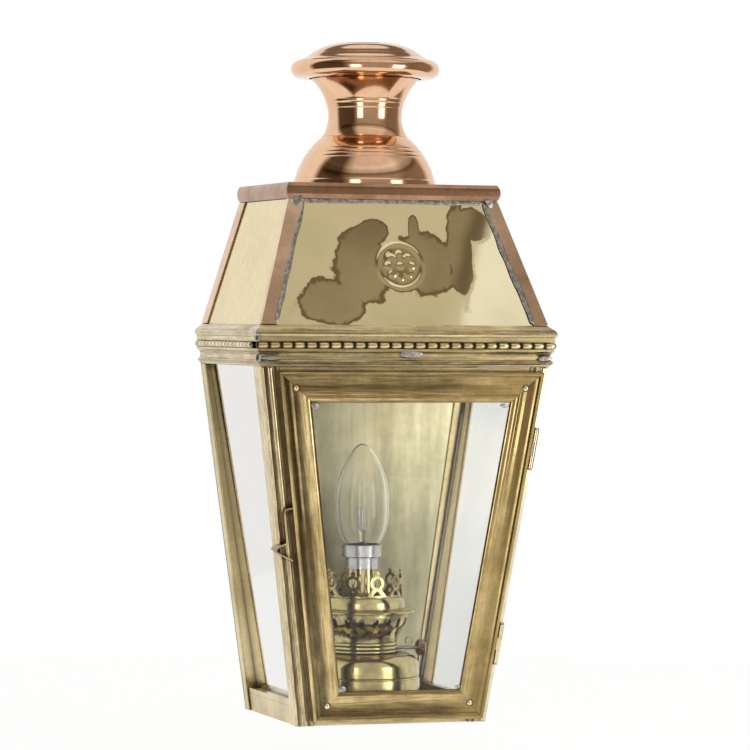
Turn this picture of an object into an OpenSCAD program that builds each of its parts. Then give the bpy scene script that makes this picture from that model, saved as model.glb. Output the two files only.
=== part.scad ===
// Wall lantern: a tapered brass body with a glazed door, a beaded cornice,
// a sloped roof with copper hips, a spun copper chimney and a lamp inside.
// X runs to the right, the front faces -Y, and the wall lies in the plane Y = 0.

/* [Body] */
// Height of the glazed body, from its floor to the cornice
body_h = 232; // [215:1:250]
// Width of the body at its floor
base_w = 129.6; // [122:0.2:140]
// Width of the body under the cornice
top_w = 195.2; // [186:0.2:206]
// Depth of the body at its floor, from the wall
base_d = 114; // [108:0.5:122]
// Depth of the body under the cornice, from the wall
top_d = 139; // [132:0.5:148]
// Thickness of the sheet brass
sheet_t = 1.2; // [0.8:0.1:1.6]
// Width of the front flange of each post
post_w = 12.5; // [11.5:0.5:14]
// Depth of the side flange of each post at the floor
flange_base = 10; // [8:0.5:13]
// Depth of the side flange of each post at the cornice
flange_top = 16.5; // [12:0.5:20]
// Height of the upturned edge of the floor tray
tray_wall_h = 12; // [9:0.5:15]
// Height of the wall mount's centre above the floor
mount_h = 150; // [130:1:165]

/* [Fixing] */
// Distance between the fixing holes across the back plate
fix_x = 100; // [86:1:106]
// Distance between the fixing holes up the back plate
fix_z = 170; // [150:1:176]
// Height of the lower fixing holes above the floor
fix_low = 44; // [36:1:50]
// Radius of a fixing hole
fix_r = 2.75; // [2:0.05:3.2]
// Height of the cable entry above the floor
cable_h = 22; // [20:1:30]
// Radius of the bore of the cable entry
cable_r = 3.6; // [3:0.1:4.2]

/* [Side panes] */
// Thickness of every pane of glass
glass_t = 2; // [1.6:0.1:2.4]
// Depth of a side pane behind the face of the posts, at the cornice
pane_inset = 4.4; // [3.6:0.1:6]
// How much deeper a side pane lies at the floor
pane_lean = 3.6; // [2:0.1:4]

/* [Door] */
// Inset of the door's free edge from the corner of the body
door_free_inset = 10.9; // [10:0.1:11.2]
// Inset of the door's hinged edge from the corner of the body
door_hinge_inset = 4; // [3.6:0.1:5]
// Gap above and below the door
door_end_gap = 3; // [2:0.2:4.4]
// Width of the moulding round the door
door_w = 19.8; // [18:0.2:22]
// Thickness of the moulding at its outer edge
door_t = 5.5; // [5:0.1:6.4]
// Gap between the closed door and the posts
door_gap = 0.3; // [0.2:0.05:0.5]
// Width of the rebate that holds the glass
rebate_w = 3.2; // [2.6:0.1:4]
// Radius of the heads of the corner screws
screw_r = 2.3; // [1.8:0.1:2.6]

/* [Hinges] */
// Length of one knuckle
knuckle_l = 8.4; // [7:0.2:10]
// Radius of a knuckle
knuckle_r = 1.9; // [1.7:0.05:2.1]
// Radius of a hinge pin
pin_r = 0.9; // [0.7:0.05:1]
// Radial clearance of a turning shaft in its hole
run_gap = 0.05; // [0.03:0.01:0.08]
// Height of the middle of the upper hinge, measured up the slope of the door
hinge_high = 180.5; // [170:0.5:190]
// Height of the middle of the lower hinge, measured up the slope of the door
hinge_low = 52.5; // [46:0.5:70]

/* [Catch] */
// Height of the catch, measured up the slope of the door
catch_s = 129; // [110:1:140]
// Thickness of the catch's spring strip
catch_t = 1; // [0.7:0.1:1.2]

/* [Cornice] */
// Height of the cornice
cornice_h = 26.8; // [25:0.2:29]
// Distance from one bead of the cornice to the next
bead_pitch = 8.11; // [7.9:0.01:8.25]
// Radius of a bead
bead_r = 2.1; // [1.9:0.05:2.15]

/* [Roof] */
// Height of the sloped part of the roof
roof_h = 82; // [76:1:90]
// Width of the roof at its top
roof_top_w = 140; // [132:0.5:148]
// Depth of the roof at its top, from the wall
roof_top_d = 110.5; // [106:0.5:116]
// Width of the copper hip strips on the front
hip_w = 9.2; // [8:0.2:11]
// Width of the copper strips along the wall
hip_back_w = 13; // [10:0.5:15]
// Thickness of the copper sheet
copper_t = 1; // [0.8:0.1:1.2]
// Height of the tray on top of the roof
tray_h = 10.4; // [9:0.2:12]
// Bulge of the tray's rounded edge
tray_bulge = 1.8; // [1.2:0.1:2.6]

/* [Chimney] */
// Distance of the chimney's axis from the wall
chimney_y = 50.5; // [50:0.5:53]
// Radius of the chimney at its foot
skirt_r = 47; // [45:0.1:47.6]
// Height of the domed skirt
skirt_h = 32.6; // [31:0.2:35]
// Radius of the skirt at its top
skirt_top_r = 28.3; // [27.2:0.1:29]
// Height of the flared neck above the skirt
neck_h = 38; // [36:0.2:41]
// Radius of the neck at its narrowest
neck_r = 24.3; // [23.4:0.1:25.2]
// Radius of the neck at its rim
neck_rim_r = 35.7; // [34.4:0.1:36.2]
// Radius of the cap at its rolled lip
cap_r = 49.3; // [48:0.1:49.7]
// Height of the cap
cap_h = 23; // [21.5:0.1:25]

/* [Lamp] */
// Distance of the lamp's axis from the wall
lamp_y = 50; // [48.5:0.5:53]
// Radius of the drum at the foot of the lamp
drum_r = 39.4; // [38:0.2:41]
// Height of the drum
drum_h = 41.4; // [40:0.2:44]
// Radius of the rings between drum and burner
ring_r = 24.4; // [23.6:0.1:25.2]
// Height of the three rings together
rings_h = 7.6; // [7:0.1:9]
// Radius of the burner's basket at its widest
basket_r = 30.7; // [29.8:0.1:31.4]
// Height of the basket
basket_h = 19.4; // [18:0.2:21]
// Number of slots round the basket
basket_n = 20; // [16:1:22]
// Radius of the burner's flange
flange_r = 35.7; // [34.4:0.1:36.6]
// Radius of the plain collar
collar_r = 29.1; // [28.2:0.1:30]
// Height of flange and collar together
collar_h = 10.2; // [9.4:0.2:12]
// Number of loops round the crown
crown_n = 10; // [8:1:11]
// Radius of the lampholder's tube
tube_r = 11; // [10.6:0.1:11.4]
// Radius of the lampholder's ring
holder_ring_r = 13.3; // [12.9:0.1:14]
// Height of the lampholder's ring above the floor
holder_ring_z = 104.7; // [103.5:0.1:108]
// Height of the lampholder's ring
holder_ring_h = 8.4; // [7.6:0.1:9]
// Radius of the bulb at its widest
bulb_r = 17.7; // [17:0.1:18.5]
// Height of the bulb above the lampholder's ring
bulb_h = 66.9; // [62:0.1:72]
// Radius of the bulb's cap
bulb_cap_r = 7.6; // [7.2:0.1:7.8]
// Distance of the wick knob from the lamp's axis
knob_x = 38.5; // [37:0.5:42]
// Radius of the wick knob
knob_r = 5.5; // [4.8:0.1:5.8]

/* [Hidden] */
$fn = 64;
fit_gap = 0.1;
seat_gap = fit_gap / 2;
back_inset = 2 * sheet_t + 2 * fit_gap;
half_base = base_w / 2;
half_top = top_w / 2;
side_run = half_top - half_base;
front_run = top_d - base_d;
slope_l = sqrt(body_h * body_h + front_run * front_run);
front_tilt = atan(front_run / body_h);
roof_z = body_h + cornice_h;
roof_half = half_top - sheet_t - fit_gap;
roof_d = top_d - sheet_t - fit_gap;
roof_top_half = roof_top_w / 2;
panel_top = roof_h - 1.2;
tray_z = roof_z + roof_h - 1;
tray_top = tray_z + tray_h;
cap_gap = 1.4;

// Half width of the body at a height above its floor
function body_half(z) = half_base + side_run * z / body_h;

// Depth of the body at a height above its floor
function body_depth(z) = base_d + front_run * z / body_h;

// Half width of the roof at a height above its base
function roof_x(h) = roof_half + (roof_top_half - roof_half) * h / roof_h;

// Depth of the roof at a height above its base
function roof_y(h) = roof_d + (roof_top_d - roof_d) * h / roof_h;

// Every point of a list, in the opposite order
function reversed(list) = [for (i = [len(list) - 1:-1:0]) list[i]];

// Arc from p to q whose middle stands s to the left of the chord
function bow(p, q, s, n = 8) =
    let (d = q - p, l = norm(d), dir = d / l, nrm = [-dir[1], dir[0]])
    let (r = (l * l / 4 + s * s) / (2 * s), half = asin(l / 2 / r))
    [for (i = [0:n]) let (a = half * (2 * i / n - 1))
        (p + q) / 2 + nrm * (s - r) + r * (nrm * cos(a) + dir * sin(a))];

// A path moved to its left by t, along the normal at each point
function shifted(path, t) = [for (i = [0:len(path) - 1])
    let (d = path[min(i + 1, len(path) - 1)] - path[max(i - 1, 0)])
    path[i] + t * [-d[1], d[0]] / norm(d)];

// Closed outline of a wall of thickness t that lies to the left of a path
function wall(path, t) = concat(path, reversed(shifted(path, t)));

// Closed outline of a strip of width w along a path
function ribbon(path, w) = concat(shifted(path, w / 2), reversed(shifted(path, -w / 2)));

// Corner at b of the outline a, b, c, moved to the left by w
function mitre(a, b, c, w) =
    let (d1 = (b - a) / norm(b - a), d2 = (c - b) / norm(c - b))
    let (n1 = [-d1[1], d1[0]], n2 = [-d2[1], d2[0]])
    b + w * (n1 + n2) / (1 + n1 * n2);

// Puts geometry measured from the floor into the frame of the wall mount
module from_floor() {
    translate([0, 0, -mount_h]) children();
}

// Places flat geometry on the sloping front: x across, y up the slope, z outwards
module on_front() {
    from_floor() translate([0, -base_d, 0]) rotate([90 + front_tilt, 0, 0]) children();
}

// Puts a revolved shape on the lamp's axis
module on_lamp() {
    from_floor() translate([0, -lamp_y, 0]) children();
}

// Puts a revolved shape on the chimney's axis
module on_chimney() {
    from_floor() translate([0, -chimney_y, 0]) children();
}

// Solid between two outlines with as many points each, counter-clockwise from above
module skin(lower, upper) {
    n = len(lower);
    polyhedron(points = concat(lower, upper), faces = concat(
        [[for (i = [0:n - 1]) i]], [[for (i = [n - 1:-1:0]) n + i]],
        [for (i = [0:n - 1]) [i, n + i, n + (i + 1) % n, (i + 1) % n]]), convexity = 4);
}

// Bar with a profile (distance to the left, height) along the line from a to b
module bar(a, b, profile) {
    d = b - a;
    translate([a[0], a[1], 0]) rotate([0, 0, atan2(d[1], d[0])]) rotate([90, 0, 90])
        linear_extrude(norm(d)) polygon(profile);
}

// Rectangle between two corners, at a height
function flat_box(x0, x1, y0, y1, z) = [[x0, y0, z], [x1, y0, z], [x1, y1, z], [x0, y1, z]];

module back_plate() {
    outline = [[-half_base, 0], [half_base, 0], [half_top, body_h], [half_top, roof_z - 1],
        [roof_half, roof_z - 1], [roof_x(roof_h - 1), tray_z], [-roof_x(roof_h - 1), tray_z],
        [-roof_half, roof_z - 1], [-half_top, roof_z - 1], [-half_top, body_h]];
    color("darkkhaki") from_floor() difference() {
        rotate([90, 0, 0]) linear_extrude(sheet_t) polygon(outline);
        for (x = [-fix_x / 2, fix_x / 2], z = [fix_low, fix_low + fix_z])
            translate([x, 1, z]) rotate([90, 0, 0]) cylinder(h = sheet_t + 2, r = fix_r);
        translate([0, 1, cable_h]) rotate([90, 0, 0]) cylinder(h = sheet_t + 2, r = cable_r + 2.2);
    }
}

module cable_grommet() {
    neck = cable_r + 2.1;
    profile = [[cable_r, 0.1], [neck, 0.1], [neck, sheet_t + 0.1], [neck + 2.4, sheet_t + 0.1],
        [neck + 2.4, sheet_t + 1.6], [neck + 1.4, sheet_t + 2.8], [cable_r, sheet_t + 2.8]];
    color("dimgray") from_floor() translate([0, 0, cable_h]) rotate([90, 0, 0])
        rotate_extrude() polygon(profile);
}

module floor_tray() {
    inset = sheet_t + fit_gap;
    inner = inset + sheet_t;
    back = back_inset;
    front_h = door_end_gap + 6;
    color("darkkhaki") from_floor() difference() {
        skin(flat_box(-half_base + inset, half_base - inset, -base_d + inset, -back, 0),
            flat_box(-body_half(tray_wall_h) + inset, body_half(tray_wall_h) - inset,
                -body_depth(tray_wall_h) + inset, -back, tray_wall_h));
        skin(flat_box(-body_half(sheet_t) + inner, body_half(sheet_t) - inner,
                -body_depth(sheet_t) + inner, -back - sheet_t, sheet_t),
            flat_box(-body_half(tray_wall_h + 1) + inner, body_half(tray_wall_h + 1) - inner,
                -body_depth(tray_wall_h + 1) + inner, -back - sheet_t, tray_wall_h + 1));
        translate([-half_base, -top_d, front_h])
            cube([base_w, top_d - base_d + inner + 1, tray_wall_h]);
        for (x = [-half_base + 11, half_base - 11], y = [-base_d + 16, -22])
            translate([x, y, -1]) cylinder(h = 4, r = 3);
        translate([0, -lamp_y, -1]) cylinder(h = 4, r = 5.2);
    }
}

// The two flanges of the right front post at a height: across the front, and back along the side
function front_leaf(z) = let (x = body_half(z), y = -body_depth(z))
    flat_box(x - post_w, x, y, y + sheet_t, z);
function side_leaf(z, run) = let (x = body_half(z), y = -body_depth(z))
    flat_box(x - sheet_t, x, y, y + run, z);

// The two flanges of the right back post at a height: on the wall plate, and forward along the side
post_back_y = -sheet_t - fit_gap / 2;
function wall_leaf(z) = let (x = body_half(z))
    flat_box(x - post_w, x, post_back_y - sheet_t, post_back_y, z);
function back_side_leaf(z, run) = let (x = body_half(z))
    flat_box(x - sheet_t, x, post_back_y - run, post_back_y, z);

module post_front() {
    from_floor() union() {
        skin(front_leaf(0), front_leaf(body_h));
        skin(side_leaf(0, flange_base), side_leaf(body_h, flange_top));
    }
}

module post_back() {
    from_floor() union() {
        skin(wall_leaf(0), wall_leaf(body_h));
        skin(back_side_leaf(0, flange_base - 3), back_side_leaf(body_h, flange_top - 8));
    }
}

module post_front_right() {
    color("khaki") post_front();
}

module post_front_left() {
    color("khaki") mirror([1, 0, 0]) post_front();
}

module post_back_right() {
    color("khaki") post_back();
}

module post_back_left() {
    color("khaki") mirror([1, 0, 0]) post_back();
}

// Angle ring that ties the posts together and carries cornice and roof
module top_frame() {
    leg_h = cornice_h - 1.3;
    z0 = body_h + fit_gap;
    lip = 14;
    back = -sheet_t - fit_gap / 2;
    color("darkkhaki") from_floor() difference() {
        translate([-half_top, -top_d, z0]) cube([top_w, top_d + back, leg_h]);
        translate([-half_top + sheet_t, -top_d + sheet_t, z0 + sheet_t])
            cube([top_w - 2 * sheet_t, top_d, leg_h]);
        translate([-half_top + lip, -top_d + lip, z0 - 1])
            cube([top_w - 2 * lip, top_d + back - 2 * lip, leg_h]);
    }
}

// Strip across the front, behind the top of the door
module door_header() {
    h = 15;
    color("khaki") on_front() translate([0, 0, -sheet_t]) linear_extrude(sheet_t) polygon([
        [-edge_x(slope_l - h) + post_w + fit_gap, slope_l - h],
        [edge_x(slope_l - h) - post_w - fit_gap, slope_l - h],
        [edge_x(slope_l) - post_w - fit_gap, slope_l - 0.3],
        [-edge_x(slope_l) + post_w + fit_gap, slope_l - 0.3]]);
}

// Side pane on the right, from the tray's edge to the frame
module pane() {
    z0 = sheet_t + fit_gap;
    z1 = body_h - fit_gap;
    base_gap = pane_inset + pane_lean;
    y_front = 2 * sheet_t + 3 * fit_gap;
    y_back = back_inset + sheet_t + 2 * fit_gap;
    from_floor() skin(
        flat_box(body_half(z0) - base_gap - glass_t, body_half(z0) - base_gap,
            -body_depth(z0) + y_front, -y_back, z0),
        flat_box(body_half(z1) - pane_inset - glass_t, body_half(z1) - pane_inset,
            -body_depth(z1) + y_front, -y_back, z1));
}

module pane_right() {
    color("lightcyan", 0.4) pane();
}

module pane_left() {
    color("lightcyan", 0.4) mirror([1, 0, 0]) pane();
}

// Wedge strips between the pane and the back post, front post and tray, on the right
module pane_stop() {
    z0 = tray_wall_h + fit_gap;
    z1 = body_h - fit_gap;
    g = fit_gap;
    y_back = -back_inset;
    depth_back = 5;
    depth_front = 6.5;
    sill_h = 3.5;
    from_floor() {
        skin(flat_box(stop_x(z0) + g, body_half(z0) - sheet_t - g, y_back - depth_back, y_back, z0),
            flat_box(stop_x(z1) + g, body_half(z1) - sheet_t - g, y_back - depth_back, y_back, z1));
        skin(flat_box(stop_x(z0) + g, body_half(z0) - sheet_t - g, -body_depth(z0) + sheet_t + g,
                -body_depth(z0) + sheet_t + depth_front, z0),
            flat_box(stop_x(z1) + g, body_half(z1) - sheet_t - g, -body_depth(z1) + sheet_t + g,
                -body_depth(z1) + sheet_t + depth_front, z1));
        skin(flat_box(stop_x(z0) + g, body_half(z0) - sheet_t - g,
                -body_depth(z0) + sheet_t + depth_front - 0.5, y_back - depth_back + 0.5, z0),
            flat_box(stop_x(z0 + sill_h) + g, body_half(z0 + sill_h) - sheet_t - g,
                -body_depth(z0 + sill_h) + sheet_t + depth_front - 0.5, y_back - depth_back + 0.5,
                z0 + sill_h));
    }
}

// Outer face of the side pane at a height
function stop_x(z) = body_half(z) - pane_inset - pane_lean * (1 - z / body_h);

module pane_stop_right() {
    color("darkkhaki") pane_stop();
}

module pane_stop_left() {
    color("darkkhaki") mirror([1, 0, 0]) pane_stop();
}

// Section of the cornice: distance outwards from the body, height above the body
bead_p = 2.9;
bead_z = 13.6;
groove = bead_r + 0.1;
cornice_section = concat(
    [[0, 0.6], [0.9, 0.6]], bow([1.0, 1.4], [1.0, 4.4], -1.2, 6), [[0.9, 5.0]],
    bow([0.9, 5.4], [2.6, 9.8], 0.9, 6), [[3.0, 10.0], [3.0, bead_z - groove]],
    [[bead_p - groove, bead_z - groove], [bead_p - groove, bead_z + groove]],
    [[3.2, bead_z + groove], [3.2, 18.8], [3.7, 19.2]],
    bow([3.7, 19.4], [4.1, 22.6], -0.7, 5), [[3.8, 23.2]],
    [[-0.9, cornice_h], [-0.9, cornice_h - 1.1], [0, cornice_h - 1.1]]);

// Each length of cornice is mitred where it meets the next
module cornice_front() {
    e = 8;
    g = fit_gap / 2;
    x = half_top;
    y = -top_d;
    color("darkkhaki") from_floor() translate([0, 0, body_h]) intersection() {
        bar([-x - e, y], [x + e, y], [for (p = cornice_section) [-p[0], p[1]]]);
        linear_extrude(cornice_h + 2)
            polygon([[-x - e + g, y - e], [x + e - g, y - e], [x - e - g, y + e], [-x + e + g, y + e]]);
    }
}

// Cornice on the right-hand side
module cornice_side() {
    e = 8;
    g = fit_gap / 2;
    x = half_top;
    y = -top_d;
    from_floor() translate([0, 0, body_h]) intersection() {
        bar([x, y - e], [x, -sheet_t - g], [for (p = cornice_section) [-p[0], p[1]]]);
        linear_extrude(cornice_h + 2)
            polygon([[x - e, y + e + g], [x + e, y - e + g], [x + e, 1], [x - e, 1]]);
    }
}

module cornice_right() {
    color("darkkhaki") cornice_side();
}

module cornice_left() {
    color("darkkhaki") mirror([1, 0, 0]) cornice_side();
}

// Turned strip of barrel beads along +X
module bead_strip(n) {
    half = 0.39 * bead_pitch;
    core = bead_r * 0.5;
    shape = concat([[0, 0], [core, 0]],
        [for (i = [0:n - 1], q = bow([core, 0.5 - half / bead_pitch], [core, 0.5 + half / bead_pitch],
            core - bead_r, 6)) [q[0], (i + 0.5) * bead_pitch + (q[1] - 0.5) * bead_pitch]],
        [[core, n * bead_pitch], [0, n * bead_pitch]]);
    rotate([0, 90, 0]) rotate_extrude() polygon(shape);
}
beads_front_n = floor((top_w + 2 * bead_p + bead_r) / bead_pitch);
beads_side_n = floor((top_d - sheet_t) / bead_pitch);

module beads_front() {
    color("khaki") from_floor()
        translate([-beads_front_n * bead_pitch / 2, -top_d - bead_p, body_h + bead_z])
            bead_strip(beads_front_n);
}

module beads_side() {
    from_floor() translate([half_top + bead_p, -sheet_t - 0.3, body_h + bead_z])
        rotate([0, 0, -90]) bead_strip(beads_side_n);
}

module beads_right() {
    color("khaki") beads_side();
}

module beads_left() {
    color("khaki") mirror([1, 0, 0]) beads_side();
}

// Wall of the front roof panel at a height above the roof's base
function front_slab(h) = let (x = roof_x(h), y = roof_y(h))
    flat_box(-x, x, -y, -y + sheet_t, roof_z + h);

module roof_front() {
    color("tan") from_floor() skin(front_slab(-1), front_slab(panel_top));
}

// Wall of the right roof panel at a height above the roof's base
function side_slab(h) = let (x = roof_x(h), y = roof_y(h))
    flat_box(x - sheet_t, x, -y + sheet_t + fit_gap, -sheet_t - fit_gap, roof_z + h);

module roof_side() {
    from_floor() skin(side_slab(-1), side_slab(panel_top));
}

module roof_right() {
    color("tan") roof_side();
}

module roof_left() {
    color("tan") mirror([1, 0, 0]) roof_side();
}

// The two leaves of the right front hip at a height above the roof's base
hip_in = fit_gap / 2;
hip_out = hip_in + copper_t;
hip_side_w = 4;
function hip_front_leaf(h) = let (x = roof_x(h), y = -roof_y(h))
    flat_box(x - hip_w, x + hip_out, y - hip_out, y - hip_in, roof_z + h);
function hip_side_leaf(h) = let (x = roof_x(h), y = -roof_y(h))
    flat_box(x + hip_in, x + hip_out, y - hip_out, y + hip_side_w, roof_z + h);

module hip() {
    from_floor() union() {
        skin(hip_front_leaf(hip_foot), hip_front_leaf(panel_top));
        skin(hip_side_leaf(hip_foot), hip_side_leaf(panel_top));
    }
}
hip_foot = 0.2;

module hip_right() {
    color("peru") hip();
}

module hip_left() {
    color("peru") mirror([1, 0, 0]) hip();
}

// Section of the strip that covers the joint of the right roof panel with the wall plate
function strip_section(h) = let (x = roof_x(h) + fit_gap / 2)
    flat_box(x, x + copper_t, -hip_back_w, 0, roof_z + h);

module wall_strip() {
    from_floor() skin(strip_section(0.2), strip_section(panel_top));
}

module wall_strip_right() {
    color("peru") wall_strip();
}

module wall_strip_left() {
    color("peru") mirror([1, 0, 0]) wall_strip();
}

// Shallow copper tray with rounded edges on three sides
module top_tray() {
    x = roof_top_half + 1.2;
    d = roof_top_d + 1.2;
    wall_t = 2.2;
    color("peru") from_floor() translate([0, 0, tray_z]) difference() {
        intersection() {
            rotate([90, 0, 0]) linear_extrude(d + 10)
                polygon(concat(bow([x, 0], [x, tray_h], -tray_bulge, 10),
                    bow([-x, tray_h], [-x, 0], -tray_bulge, 10)));
            rotate([90, 0, 90]) translate([0, 0, -x - 10]) linear_extrude(2 * x + 20)
                polygon(concat([[0, tray_h]], bow([-d, tray_h], [-d, 0], -tray_bulge, 10), [[0, 0]]));
        }
        translate([-x + wall_t, -d + wall_t, -1])
            cube([2 * x - 2 * wall_t, d - 2 * wall_t, tray_h - wall_t + 1]);
        translate([0, -chimney_y, -1]) cylinder(h = tray_h + 2, r = skirt_r - 5);
    }
}

// Outer curve of the skirt, from its foot upwards
skirt_z = tray_top + fit_gap / 2;
skirt_path = concat([[skirt_r, 0], [skirt_r, 3.4]],
    bow([skirt_r - 0.5, 4], [skirt_top_r, skirt_h], -2.85, 16));

module chimney_skirt() {
    color("sandybrown") on_chimney() translate([0, 0, skirt_z]) rotate_extrude()
        polygon(wall(skirt_path, copper_t));
}

// Outer curve of the neck, from the skirt to its rim
neck_z = skirt_z + skirt_h + fit_gap;
neck_wall = copper_t + 0.1;
waist_z = 13.3;
neck_path = concat(bow([skirt_top_r, 0], [neck_r, waist_z], 0.95, 8),
    bow([neck_r, waist_z + 0.2], [neck_rim_r, neck_h], 2.6, 12));

module chimney_neck() {
    color("sandybrown") on_chimney() translate([0, 0, neck_z]) rotate_extrude()
        polygon(wall(neck_path, neck_wall));
}

// Outer curve of the cap, from its centre to the inner edge of its underside
cap_z = neck_z + neck_h + 0.4;
lip_r = 5;
lip_top = cap_h - 11;
cap_path = concat([[0, cap_h], [20, cap_h]], bow([22, cap_h - 0.3], [36.8, cap_h - 7.2], 1, 6),
    [[40.5, cap_h - 9.2]], bow([cap_r - lip_r, lip_top], [cap_r - lip_r, 0.5], lip_r - 0.1, 12),
    [[neck_rim_r + cap_gap, 0]]);

module chimney_cap() {
    color("sandybrown") on_chimney() translate([0, 0, cap_z]) rotate_extrude()
        polygon(wall(cap_path, -copper_t));
}

// Three upright stays that carry the cap on the neck
module cap_stays() {
    r = neck_rim_r - 7;
    z0 = neck_z + neck_h - 4.9;
    z1 = cap_z + cap_h - copper_t - 3;
    color("peru") on_chimney() for (a = [90:120:330])
        rotate([0, 0, a]) translate([r - 1, -3, z0]) cube([1, 6, z1 - z0]);
}

// Corners of the door on the sloping front, counter-clockwise from the lower left
run_per_mm = side_run / slope_l;
function edge_x(s) = half_base + run_per_mm * s;
door_s0 = door_end_gap;
door_s1 = slope_l - door_end_gap;
door_pts = [[-edge_x(door_s0) + door_free_inset, door_s0], [edge_x(door_s0) - door_hinge_inset, door_s0],
    [edge_x(door_s1) - door_hinge_inset, door_s1], [-edge_x(door_s1) + door_free_inset, door_s1]];

// Corner i of the door, moved inwards by w
function door_corner(i, w) = mitre(door_pts[(i + 3) % 4], door_pts[i % 4], door_pts[(i + 1) % 4], w);

// Section of the door's moulding: distance inwards, height above the back of the door
lip_z = glass_t + 1;
door_section = concat([[0, 0], [0, door_t - 0.8], [0.8, door_t], [2.3, door_t]],
    bow([2.9, door_t - 0.6], [door_w - 6.5, lip_z + 1], -1.3, 10),
    bow([door_w - 6.1, lip_z + 1], [door_w - 0.2, lip_z + 0.5], 1.2, 8),
    [[door_w, lip_z], [door_w - rebate_w, lip_z], [door_w - rebate_w, 0]]);

// One side of the door's frame, from corner i to the next, cut to its mitres
module door_side(i) {
    a = door_pts[i];
    b = door_pts[(i + 1) % 4];
    dir = (b - a) / norm(b - a);
    g = dir * fit_gap / 2;
    color("darkkhaki") on_front() translate([0, 0, door_gap]) difference() {
        intersection() {
            bar(a, b, door_section);
            translate([0, 0, -1]) linear_extrude(door_t + 2)
                polygon([a + g, b - g, door_corner(i + 1, door_w + 2) - g, door_corner(i, door_w + 2) + g]);
        }
        for (k = [0, 1]) translate(concat(door_corner(i + k, screw_in), -1)) {
            cylinder(h = door_t + 2, r = 1.5);
            translate([0, 0, screw_seat + 1]) cylinder(h = door_t, r = screw_r + fit_gap);
        }
    }
}
screw_in = 10.4;
screw_seat = 1.9;

module door_rail_bottom() {
    door_side(0);
}

module door_stile_right() {
    door_side(1);
}

module door_rail_top() {
    door_side(2);
}

module door_stile_left() {
    door_side(3);
}

module door_glass() {
    inset = door_w - rebate_w + 0.2;
    color("lightcyan", 0.4) on_front() translate([0, 0, door_gap + lip_z - glass_t - 0.05])
        linear_extrude(glass_t) polygon([for (i = [0:3]) door_corner(i, inset)]);
}

// Small clips behind the glass, two on each stile and one on each rail
module door_glass_clips() {
    inset = door_w - rebate_w + 0.1;
    clip_h = lip_z - glass_t - 0.15;
    color("khaki") on_front() translate([0, 0, door_gap])
        for (c = [[0, 0.5], [1, 0.25], [1, 0.75], [2, 0.5], [3, 0.25], [3, 0.75]]) {
            a = door_corner(c[0], inset);
            b = door_corner(c[0] + 1, inset);
            p = a + (b - a) * c[1];
            translate([p[0], p[1], 0]) rotate([0, 0, atan2(b[1] - a[1], b[0] - a[0])])
                translate([-5, 0, 0]) cube([10, 4, clip_h]);
        }
}

// Round-headed screws at the mitres
module door_screws() {
    head = [for (q = bow([screw_r, screw_seat + 0.9], [0.4, screw_seat + 2.3], -0.35, 5)) q];
    profile = concat([[0, 0.1], [1.4, 0.1], [1.4, screw_seat + 0.05], [screw_r, screw_seat + 0.05]],
        head, [[0, screw_seat + 2.3]]);
    color("khaki") on_front() translate([0, 0, door_gap]) for (i = [0:3])
        translate(concat(door_corner(i, screw_in), 0)) rotate_extrude($fn = 32) polygon(profile);
}

// Frame along the hinge axis: x outwards from the door's edge, y up the edge, z outwards
hinge_n = knuckle_r + 0.25;
hinge_t = 3.1;
edge_tilt = atan(run_per_mm);
module on_hinge(s) {
    on_front() translate([edge_x(s) - door_hinge_inset, s, 0]) rotate([0, 0, -edge_tilt]) children();
}

// Knuckle on the hinge axis, from y0, with the hole for the pin
module knuckle(y0, l) {
    translate([hinge_n, y0, hinge_t]) rotate([-90, 0, 0]) cylinder(h = l, r = knuckle_r);
}

module pin_hole() {
    translate([hinge_n, -2 * knuckle_l, hinge_t]) rotate([-90, 0, 0])
        cylinder(h = 4 * knuckle_l, r = pin_r + run_gap);
}

module hinge_leaves_door() {
    l = knuckle_l - 0.2;
    color("khaki") for (s = [hinge_low, hinge_high]) on_hinge(s) difference() {
        union() {
            knuckle(-l / 2, l);
            translate([0.05, -l / 2, door_gap + 0.7]) cube([1.2, l, door_t - 1.4]);
        }
        pin_hole();
    }
}

module hinge_leaves_post() {
    color("khaki") for (s = [hinge_low, hinge_high]) on_hinge(s) difference() {
        union() for (y = [-1.5 * knuckle_l, 0.5 * knuckle_l]) {
            knuckle(y, knuckle_l);
            translate([hinge_n - 0.9, y, 0.05]) cube([1.9, knuckle_l, hinge_t]);
        }
        pin_hole();
    }
}

module hinge_pins() {
    color("gray") for (s = [hinge_low, hinge_high]) on_hinge(s) {
        translate([hinge_n, -1.5 * knuckle_l - 0.8, hinge_t]) rotate([-90, 0, 0]) {
            cylinder(h = 3 * knuckle_l + 1.6, r = pin_r);
            translate([0, 0, -0.6]) cylinder(h = 1.3, r = 1.5);
            translate([0, 0, 3 * knuckle_l + 0.9]) cylinder(h = 1.3, r = 1.5);
        }
    }
}

// Spring strip on the door's free edge, with a nose that snaps over the post's corner
module door_catch() {
    nose = door_free_inset + 0.6;
    path = [[-0.15, 14], [-3.4, 14], [-5.2, 13.2], [-6, 11.6], [-6, -6.5], [-6.6, -8.2], [-nose, -9.4],
        [-nose - 3, -11.6], [-nose, -14.4], [-5, -18.6], [-3.6, -20]];
    s = catch_s;
    t0 = door_gap + 0.3;
    color("khaki") on_front() translate([-edge_x(s) + door_free_inset, s, 0]) rotate([0, 0, edge_tilt]) {
        translate([0, 0, t0]) linear_extrude(door_t - 1.1) polygon(ribbon(path, catch_t));
        translate([0, 0, -4]) linear_extrude(4 + t0 + 1)
            polygon(ribbon([for (i = [6:8]) path[i]], catch_t));
    }
}

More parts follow.
